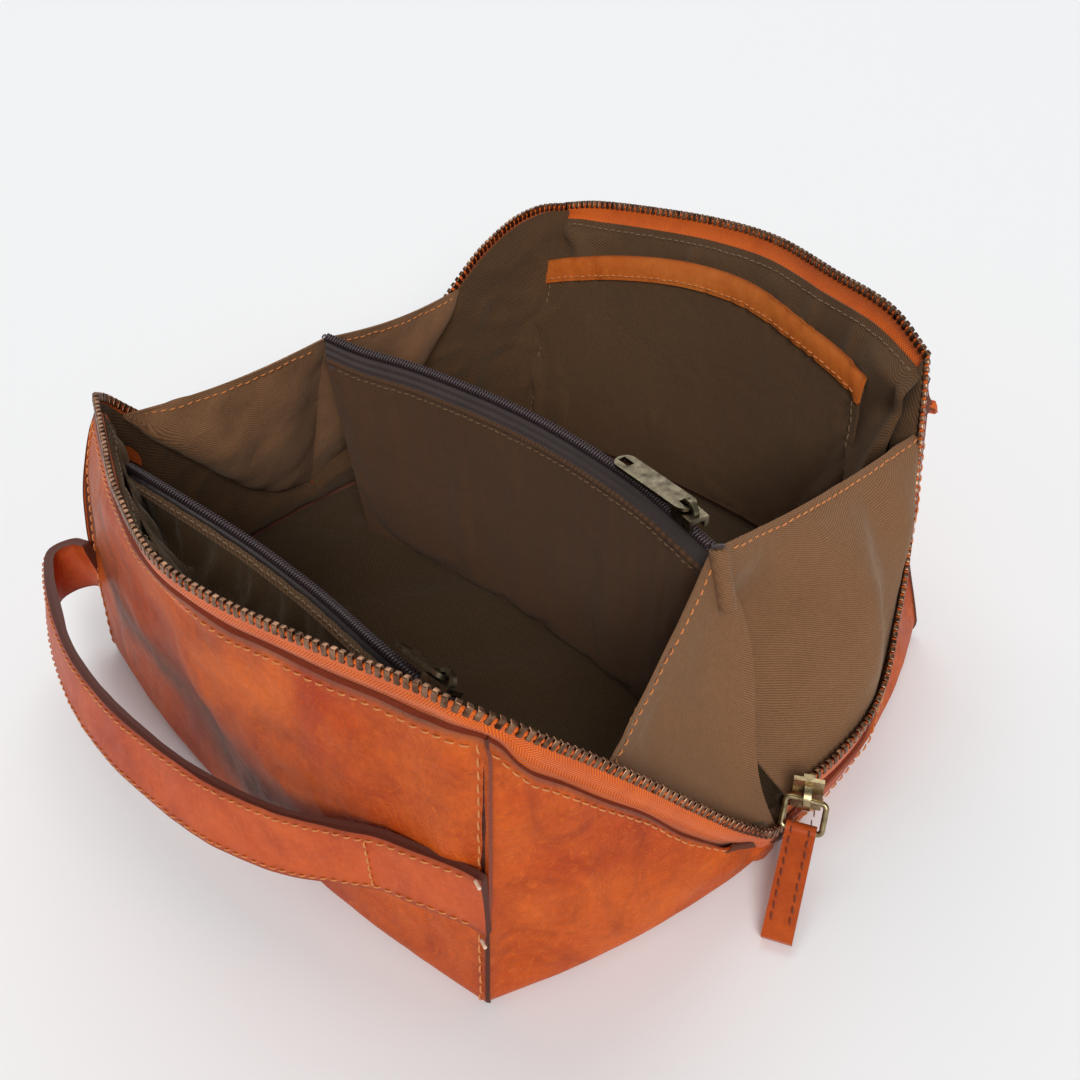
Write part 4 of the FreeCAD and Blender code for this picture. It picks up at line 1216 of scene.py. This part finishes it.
# How low each gusset half's belly hangs, how far it hangs in and how deep its folds fan out.
GUSSET_BELLY = {
    ("front", "right"): (0.8, 7.0, 0.6),
    ("rear", "right"): (1.0, -9.0, 6.0),
    ("front", "left"): (0.55, 13.0, 1.2),
    ("rear", "left"): (0.8, 8.0, 1.4),
}
GUSSET_COLS = 46
GUSSET_ROWS = 34
# The fold by the divider at the right: how far it leans, and how deep each half goes into it.
FOLD_LEAN = -4.5
FOLD_DEPTH_FRONT = -3.0
FOLD_DEPTH_REAR = 26.0


def gusset_grid(half, side_name):
    """One half of a gusset: from the zip's edge up to the slack line to the divider."""
    edge = EDGES[half, side_name]
    first = int(GUSSET_STARTS[half, side_name] * len(edge.teeth))
    low = resample(edge.at(3.0)[first:], GUSSET_COLS) - edge.facing * 2.2
    share = np.linspace(0, 1, GUSSET_COLS)[:, None]
    high = low[0] * (1 - share) + DIVIDER_ENDS[side_name] * share
    high = high - UP * (3.0 * np.sin(np.pi * share))
    return between(low, high, GUSSET_ROWS)


def build_gusset(side_name):
    """A gusset's two halves, which meet in a fold below the divider's end."""
    inward = -SIDE_FACE[side_name]
    rise = np.linspace(0, 1, GUSSET_ROWS)[:, None]
    along = np.linspace(0, 1, GUSSET_COLS)[None]
    for half, seed in (("front", 91), ("rear", 93)):
        grid = gusset_grid(half, side_name)
        low_share, size, ripples = GUSSET_BELLY[half, side_name]
        belly = np.sin(np.pi * rise**low_share) * np.sin(np.pi * along) ** 0.8
        grid = grid + (inward * 0.9 - UP * 0.45) * (belly * size)[..., None]
        if side_name == "right":
            grid[..., 1] += np.sin(2 * np.pi * rise) * FOLD_LEAN * smooth(0.4, 1.0, along) ** 2
            fold = np.sin(np.pi * rise) * smooth(0.45, 1.0, along) ** 1.5
            fold = fold * FOLD_DEPTH_FRONT if half == "front" else fold**2 * FOLD_DEPTH_REAR
            grid = grid + inward * fold[..., None]
        fan = np.sin(along * 15 + rise * 2.0 + 0.6) * np.sin(np.pi * rise) * smooth(0.1, 0.5, along)
        grid = grid + inward * (fan * ripples)[..., None]
        grid = draped(grid, 0.05, 9.0, seed)
        nodes = [f"gusset_{side_name}"] if half == "front" else []
        grid = cloth_piece(f"gusset_{side_name}_{half}_cloth", grid, -inward, GUSSET, half, nodes)
        face = outward_normals(grid, -inward)[-3, 3:-2]
        path = line_below(grid, 2.6)[3:-2]
        for label, way, lift in (("outer", face, 0.1), ("inner", -face, CLOTH + 0.1)):
            name = f"gusset_threads_{side_name}_{half}_{label}"
            sew(name, path, way, half, THREAD, 3.3, 0.3, 0.7, lift)


# How far a lining hangs off the leather half way up, where the leather is dented.
LINING_SLACK = 3.6


def lining_grid(key, inset, top):
    """A lining's inner face, inset from the leather, up to top above the leather's cut edge."""
    edge = EDGES[key]
    grid = rolled(edge.foot, edge.at(CUT_DROP - top), edge.outward, 46, 4.0)
    grid = settle_corners(grid, key)[3:]
    rise = np.linspace(0, 1, len(grid))[:, None, None]
    inset = inset + LINING_SLACK * np.sin(np.pi * rise)
    return grid - outward_normals(grid, edge.facing) * inset + UP * 2.0 * (1 - rise)


def build_linings():
    """The walls' and the sides' cloth linings."""
    for wall in ("front", "rear"):
        inward = -WALL_FACE[wall]
        grid = lining_grid(wall, 3.4, 1.2)
        rows, cols = grid.shape[:2]
        along = np.linspace(0, 1, cols)[None]
        rise = np.linspace(0, 1, rows)[:, None]
        held = smooth(0, 0.12, rise) * smooth(0, 0.06, 1 - rise)
        folds = np.abs(waves(grid, 40, 21)) * 1.6 + creases(grid * np.array([1, 1, 0.4]), 34, 22, 3) * 1.8
        near_corner = 1 + 1.6 * np.exp(-((along / 0.14) ** 2)) + 1.6 * np.exp(-(((1 - along) / 0.14) ** 2))
        grid = grid + inward * (held * folds * near_corner)[..., None]
        body, nodes = f"{wall}_wall", [f"{wall}_wall_lining"]
        grid = cloth_piece(f"{wall}_lining_cloth", grid, inward, LINING, body, nodes)
        face = outward_normals(grid, inward)[-3, 3:-3]
        path = line_below(grid, 3.0)[3:-3]
        sew(f"lining_threads_{wall}", path, face, body, OLIVE_THREAD, 3.4, 0.26)
    for half, side_name in SIDE_TOPS:
        inward = -SIDE_FACE[side_name]
        grid = lining_grid((half, side_name), 3.0, CUT_DROP - 2.0)
        rise = np.linspace(0, 1, len(grid))[:, None]
        folds = np.abs(waves(grid, 36, 25)) * 1.3 + creases(grid, 30, 26, 3) * 1.2
        grid = grid + inward * (smooth(0, 0.2, rise) * smooth(0, 0.1, 1 - rise) * folds)[..., None]
        nodes = [f"side_lining_{side_name}"] if half == "front" else []
        cloth_piece(f"side_{side_name}_{half}_lining", grid, inward, LINING, half, nodes)


# ---------------------------------------------------------------- divider

COIL_RADIUS = 1.05
COIL_PITCH = 1.25
COIL_STEPS = 12
ZIP_TAPE = 0.5


def coil(name, path, facing):
    """A nylon coil zip: a flattened helix along each side of a path, meshed in the middle."""
    fine = resample(path, int(length_of(path) / COIL_PITCH) * COIL_STEPS + 1)
    across, out = frames_along(fine, facing_on(facing, len(fine)))[1:]
    made = []
    for side in (-1, 1):
        angle = np.arange(len(fine)) * (2 * np.pi / COIL_STEPS) + (np.pi if side > 0 else 0)
        middle = fine + across * (0.72 * side)
        swing = across * (np.cos(angle) * 0.9 * side)[:, None]
        helix = middle + swing + out * (np.sin(angle) * COIL_RADIUS)[:, None]
        made.append(tube(f"{name}_{side}", helix, 0.34, NYLON, 5, facing=out.mean(0)))
    return join(name, made)


DIVIDER_KEYS = [
    (-98, -1.6, 94.8),
    (-80, 2.1, 93.2),
    (-50, 8.8, 93.1),
    (0, 13.0, 93),
    (50, 8.8, 92.9),
    (91.5, -1.6, 92.6),
]
DIVIDER_COLS = 96
DIVIDER_ROWS = 44
# How far each sheet stands from the divider's middle, and how far in its cloth may hang.
DIVIDER_GAP = 1.9
DIVIDER_HANG = 0.6


def divider_path(height):
    """The divider's line from left to right, level along its slider's arc, which bows to the rear."""
    line = spline(DIVIDER_KEYS, DIVIDER_COLS)
    line[:, 2] += height
    return line


def divider_foot():
    """Where the divider meets the lining of the base."""
    share = np.linspace(-1, 1, DIVIDER_COLS)
    return np.stack([share * 91.5, 3 + 9.5 * (1 - share**2), np.full(DIVIDER_COLS, 4.5)], 1)


def build_divider():
    """The divider: two sheets of cloth with a coil zip between their top edges."""
    ways = {"front": np.array([0, -1.0, 0]), "rear": np.array([0, 1.0, 0])}
    low = divider_foot()
    rise = np.linspace(0, 1, DIVIDER_ROWS)[:, None]
    along = np.linspace(0, 1, DIVIDER_COLS)[None]
    belly = np.sin(np.pi * rise) * np.sin(np.pi * along)
    for face, seed in (("front", 51), ("rear", 55)):
        push = ways[face]
        top = divider_path(-8.0) + push * DIVIDER_GAP
        grid = between(low + push * DIVIDER_GAP, top, DIVIDER_ROWS)
        grid = grid + push * (belly * 1.2)[..., None]
        grid = grid + push * (np.abs(waves(grid, 60, seed)) * belly * 2.0)[..., None]
        grid = draped(grid, 0.012, 3.0, seed)
        inmost = between(low, top, DIVIDER_ROWS)[..., 1] - push[1] * DIVIDER_HANG
        outer_of = np.minimum if face == "front" else np.maximum
        grid[..., 1] = outer_of(grid[..., 1], inmost)
        nodes = [f"divider_{face}_sheet"]
        grid = cloth_piece(f"divider_{face}_cloth", grid, push, DIVIDER, "bag", nodes)
        fold = grid[-1] + push * 0.2 - push * CLOTH / 2
        hem = tube(f"divider_{face}_hem", fold, 0.85, DIVIDER, 8, facing=push)
        give(hem, "weave", np.repeat(fold * MM, 8, axis=0), "FLOAT_VECTOR")
        finish_piece(hem, "bag")
        path = line_below(grid, 2.2)[3:-3]
        faces = outward_normals(grid, push)[-3, 3:-3]
        sew(f"divider_threads_{face}", path, faces, "bag", OLIVE_THREAD, 3.2, 0.24)
    zip_line = divider_path(0.0)
    for face, push in ways.items():
        high = zip_line + push * 0.5 + UP * 0.3
        grid = between(divider_path(-11.5) + push * 1.5, high, 6)
        name, nodes = f"divider_tape_{face}", [f"divider_zip_tape_{face}"]
        cloth_piece(name, grid, push, DARK_TAPE, "bag", nodes, ZIP_TAPE)
    made = coil("divider_coil", zip_line + UP * 1.1, UP)
    finish_piece(made, "bag", ["divider_zip_coil"])


# ---------------------------------------------------------------- the handle wall's zipped pocket

POCKET_MOUTH = [
    (-86, -94, 84.5),
    (-58, -92.7, 86),
    (-20, -92, 87),
    (20, -92.3, 87.7),
    (58, -92.7, 87.8),
    (84, -93, 88),
]
# Between these two places along x the pocket's soft mouth slumps, by this much at its middle.
POCKET_SLUMP_X = (-72.0, 66.0)
POCKET_SLUMP = np.array([0, 5.0, -5.0])
POCKET_COLS = 80
FLAP_ROWS = 24
PANEL_ROWS = 30


def bulge(rows, cols):
    """A field over a sheet that is 1 at its middle and 0 along its edges."""
    share = np.linspace(0, 1, cols)
    return np.sin(np.pi * np.linspace(0, 1, rows)[:, None]) * np.sin(np.pi * share)[None]


def build_front_pocket():
    """The pocket on the handle wall: its flap, its coil zip and its panel."""
    body = "front_wall"
    zip_line = spline(POCKET_MOUTH, POCKET_COLS)
    x = zip_line[:, 0]
    from_ends = np.clip(np.minimum(x - POCKET_SLUMP_X[0], POCKET_SLUMP_X[1] - x) / 60, 0, 1)
    zip_line = zip_line + smooth(0, 1, from_ends)[:, None] * POCKET_SLUMP
    lining = lining_grid("front", 4.4, 0.0)
    at = np.linspace(8, lining.shape[1] - 9, POCKET_COLS)
    wall = picked(lining[-4], at) + np.array([0, 2.2, 0])
    foot = picked(lining[8], at) + np.array([0, 4.5, 0])
    flap = between(zip_line + np.array([0, -3.4, 0.4]), wall, FLAP_ROWS)
    flap = flap - UP * (bulge(FLAP_ROWS, POCKET_COLS) ** 0.7 * 20.0)[..., None]
    flap = draped(flap, 0.05, 5.0, 61)
    # The flap takes the lining's darker copy: painted shade, as the flap lies in shadow down in the pocket's
    # mouth.
    cloth_piece("front_pocket_flap_cloth", flap, UP, LINING_PAINTED_SHADE, body, ["front_pocket_top_flap"])
    hem_path = zip_line + np.array([0, -3.2, 0.5])
    hem_grid = between(hem_path + np.array([0, -2.4, -1.0]), hem_path, 5)
    hem = shell("front_pocket_hem", turned(hem_grid, UP), 1.2, [LINING] * 3)
    finish_piece(hem, body)
    path = hem_path + np.array([0, -1.4, -0.2])
    sew("front_pocket_threads", path, UP, body, OLIVE_THREAD, 3.2, 0.26, lift=0.0)
    inward = np.array([0, 1, 0])
    panel = between(foot + inward * 0.6, zip_line + np.array([0, 3.2, -2.2]), PANEL_ROWS)
    panel = panel + inward * (bulge(PANEL_ROWS, POCKET_COLS) * 5)[..., None]
    cloth_piece("front_pocket_cloth", panel, inward, LINING, body, ["front_pocket_panel"])
    for label, near, far in (
        ("upper", np.array([0, -0.5, 0.4]), np.array([0, -3.6, -9.6])),
        ("lower", np.array([0, 0.5, 0.6]), np.array([0, 3.4, -10.5])),
    ):
        grid = between(zip_line + near, zip_line + far, 6)
        name, nodes = f"front_pocket_tape_{label}", [f"front_pocket_zip_tape_{label}"]
        cloth_piece(name, grid, UP, DARK_TAPE, body, nodes, ZIP_TAPE)
    facing = unit(np.array([0, 0.5, 1.0]))
    made = coil("front_pocket_coil", zip_line + facing * 1.2, facing)
    finish_piece(made, body, ["front_pocket_zip_coil"])


# ---------------------------------------------------------------- the rear wall's slip pocket

# How much further left than in the CAD the pocket reaches.
SLIP_REACH = 14
SLIP_LEFT, SLIP_RIGHT = (corner.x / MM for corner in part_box("slip_pocket_panel"))
SLIP_COLS = 90
SLIP_ROWS = 40
BAND_ROWS = 12


def build_slip_pocket():
    """The open pocket on the rear wall and the leather band along its mouth."""
    inward = np.array([0.0, -1.0, 0.0])
    lining = lining_grid("rear", 6.0, 1.2)
    columns = np.arange(lining.shape[1])
    ends = np.interp([SLIP_LEFT - SLIP_REACH, SLIP_RIGHT], lining[-8, :, 0], columns)
    at = np.linspace(ends[0], ends[1], SLIP_COLS)
    wall = np.array([picked(row, at) for row in lining])
    share = np.linspace(-1, 1, SLIP_COLS)
    mouth = (len(lining) - 1) * (0.8 + 0.1 * (1 - share**2) + 0.02 * share)
    swell = 1.2 + 5.0 * (1 - share**2)
    grid = []
    for rise in np.linspace(0, 1, SLIP_ROWS):
        level = 3 + (mouth - 3) * rise
        line = np.array([picked(wall[:, i], level[i : i + 1])[0] for i in range(SLIP_COLS)])
        grid.append(line + inward * (swell * rise**1.5)[:, None])
    grid = np.array(grid)
    settled = draped(grid, 0.02, 4.0, 71)
    grid = np.where((settled - grid)[..., 1:2] > 1.0, grid, settled)
    body = "rear_wall"
    grid = cloth_piece("slip_pocket_cloth", grid, inward, LINING, body, ["slip_pocket_panel"])
    up = unit(grid[-1] - grid[-4])
    heights = np.linspace(-5.5, 5.0, BAND_ROWS)
    round_face = 0.9 * np.cos(np.linspace(-1.3, 1.3, BAND_ROWS))
    band = np.array([grid[-1] + up * d + inward * (1.0 + c) for d, c in zip(heights, round_face)])
    band = turned(band, inward)
    made = shell("slip_pocket_band", band, 1.3, [TRIM, FLESH, TRIM], edge_rub(band, 2.0) * 0.7)
    finish_piece(made, body, ["slip_pocket_trim"])
    face = outward_normals(band, inward)[2, 2:-2]
    sew("slip_pocket_band_threads", band[2, 2:-2], face, body, THREAD, 3.4, 0.28)
    for label, column in (("left", 2), ("right", -3)):
        path = grid[2:-3, column]
        face = outward_normals(grid, inward)[2:-3, column]
        sew(f"slip_pocket_threads_{label}", path, face, body, OLIVE_THREAD, 3.2, 0.26)


# ---------------------------------------------------------------- carry handle

HANDLE_ROUTE = [
    (108.0, -107.6, 45.6),
    (102.0, -108.9, 45.5),
    (95.0, -111.0, 45.2),
    (86.0, -113.8, 44.8),
    (76.0, -116.9, 44.0),
    (62.0, -123.2, 41.2),
    (44.0, -130.6, 37.4),
    (18.0, -137.5, 34.6),
    (-10.0, -141.0, 33.8),
    (-38.0, -142.0, 33.8),
    (-64.0, -139.5, 34.4),
    (-88.0, -133.0, 35.0),
    (-105.0, -127.0, 35.5),
    (-115.5, -121.5, 36.0),
    (-118.0, -115.5, 36.5),
    (-115.5, -109.0, 37.0),
    (-109.5, -106.2, 37.5),
]
HANDLE_WIDE = 23.5
HANDLE_PLY = 1.9
HANDLE_COLS = 200
HANDLE_ROWS = 13
# The column where a row of stitches crosses the strap, at the end of its sewn part.
CROSS_COLUMN = 28


def build_handle():
    """The strap: two plies sewn along both edges, with one end sewn flat to the wall."""
    line = spline(HANDLE_ROUTE, HANDLE_COLS)
    walked = np.linspace(0, 1, HANDLE_COLS)[:, None]
    along = unit(np.gradient(line, axis=0))
    out = unit(np.cross(UP, along))
    width = unit(UP - out * (0.2 * smooth(0.12, 0.4, walked)))
    out = unit(np.cross(width, along))
    over = np.linspace(-1, 1, HANDLE_ROWS)
    for ply, facing in (("outer", 1.0), ("inner", -1.0)):
        depth = HANDLE_PLY - 1.0 * smooth(0.16, 0.02, walked) if ply == "outer" else HANDLE_PLY
        grid = []
        for v in over:
            grid.append(line + width * (HANDLE_WIDE / 2 * v) + out * (facing * (depth - 0.35 * v**8)))
        grid = np.array(grid)
        soft = waves(grid, 30, 41) * 0.25 + waves(grid, 9, 42) * 0.08
        grid = grid + (out * facing)[None] * soft[..., None]
        rub = np.abs(over)[:, None] ** 6 * 0.55 + np.zeros((1, HANDLE_COLS))
        shown = turned(grid, (out * facing)[None])
        made = shell(f"handle_{ply}_skin", shown, HANDLE_PLY, [HANDLE, FLESH, STRAP_EDGE], rub)
        finish_piece(made, "handle", [f"handle_{ply}_ply", f"handle_end_{ply}_ply"])
        if ply == "outer":
            for label, row in (("top", -2), ("bottom", 1)):
                name, path = f"handle_threads_{label}", grid[row, 4:-4]
                sew(name, path, out[4:-4], "handle", THREAD, 3.4, 0.27)
            name, path, face = "handle_cross_threads", grid[1:-1, CROSS_COLUMN], out[CROSS_COLUMN]
            sew(name, path, face, "handle", THREAD, 3.2, 0.36, lift=0.15)


# The knots' length and radius, and how far they lie off the strap's end.
KNOT_HALF = 1.8
KNOT_RADIUS = 0.5
KNOT_SHIFT = np.array([0.6, -2.2, 0])


def build_knots():
    """The pale knots that hold the strap's end on the corner seam."""
    end = np.array(HANDLE_ROUTE[0])
    for label, side in (("top", 1), ("bottom", -1)):
        at = end + UP * (HANDLE_WIDE / 2 + 0.6) * side
        share = np.linspace(-KNOT_HALF, KNOT_HALF, 6)[:, None]
        path = at + share * np.array([0.8, -0.3, 0.1]) + KNOT_SHIFT
        knot = tube(f"strap_knot_{label}", path, KNOT_RADIUS, WHITE_THREAD, 6)
        finish_piece(knot, "front_wall")


# ---------------------------------------------------------------- the zips' ends and tabs


def build_zip_roll():
    """The cloth-wrapped end of the divider's zip, rolled down at the gusset's fold."""
    top = DIVIDER_ENDS["right"]
    path = top + np.linspace(0, 1, 14)[:, None] * np.array([6.5, -2.5, -17.0]) + np.array([2.2, 0, 1.6])
    roll = tube("divider_zip_roll", path, 2.9, GUSSET, 12)
    points = np.array([vertex.co for vertex in roll.data.vertices])
    give(roll, "weave", points[:, [1, 2, 0]], "FLOAT_VECTOR")
    finish_piece(roll, "bag")
    # A disc of the dark zip tape over the roll's top: the tape that the roll wraps, and painted shade for
    # the hollow of its open end.
    rim = top + np.array([2.0, 0, 2.2])
    eye = tube("divider_zip_roll_end", np.array([rim, rim + np.array([-0.2, 0.1, 0.5])]), 2.0, DARK_TAPE, 12)
    give(eye, "weave", np.zeros((len(eye.data.vertices), 3)), "FLOAT_VECTOR")
    finish_piece(eye, "bag")


def dress_cad_nodes():
    """Gives the CAD's own metal pieces and its leather tab their finish and soft edges."""
    skins = {
        "main_slider": PALE_BRASS,
        "pull_ring": PALE_BRASS,
        "zip_end_stop": BRASS,
        "divider_slider": GUNMETAL,
        "divider_pull": GUNMETAL,
        "front_pocket_slider": GUNMETAL,
        "front_pocket_pull": GUNMETAL,
        "pull_tab": TAB,
    }
    for node, skin in skins.items():
        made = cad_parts[node]
        made.data.materials.clear()
        made.data.materials.append(skin)
        bevel = made.modifiers.new("soft edges", "BEVEL")
        bevel.width = 0.0003
        bevel.segments = 2
        bevel.limit_method = "ANGLE"


def stitch_tab():
    """The two rows of stitches along the zip's leather tab."""
    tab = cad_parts["pull_tab"]
    points = np.array([tab.matrix_world @ vertex.co for vertex in tab.data.vertices]) / MM
    middle = points.mean(0)
    ways = np.linalg.svd(points - middle, full_matrices=False)[2]
    reach = np.abs((points - middle) @ ways.T).max(0)
    down = -ways[0] if ways[0][2] > 0 else ways[0]
    face = ways[2] if ways[2][0] > 0 else -ways[2]
    share = np.linspace(-0.25, 0.86, 16)[:, None]
    for label, side in (("near", -1), ("far", 1)):
        path = middle + down * reach[0] * share + ways[1] * reach[1] * 0.6 * side + face * (reach[2] + 0.1)
        threads = stitches(f"tab_threads_{label}", path, face, RUST_THREAD, 3.0, 0.22)
        finish_piece(threads, "main_zip_tab")


# ---------------------------------------------------------------- assembly

make_camera()
make_studio()
wall_grids = {wall: build_wall_leather(wall) for wall in ("front", "rear")}
side_grids = {side_name: build_side_leather(side_name) for side_name in SIDES}
build_base()
build_corner_threads(wall_grids)
build_edge_threads(wall_grids, side_grids)
build_main_zip()
build_linings()
for side_name in SIDES:
    build_gusset(side_name)
build_divider()
build_front_pocket()
build_slip_pocket()
build_handle()
build_knots()
build_zip_roll()
dress_cad_nodes()
stitch_tab()
bpy.context.scene.view_settings.view_transform = "Standard"
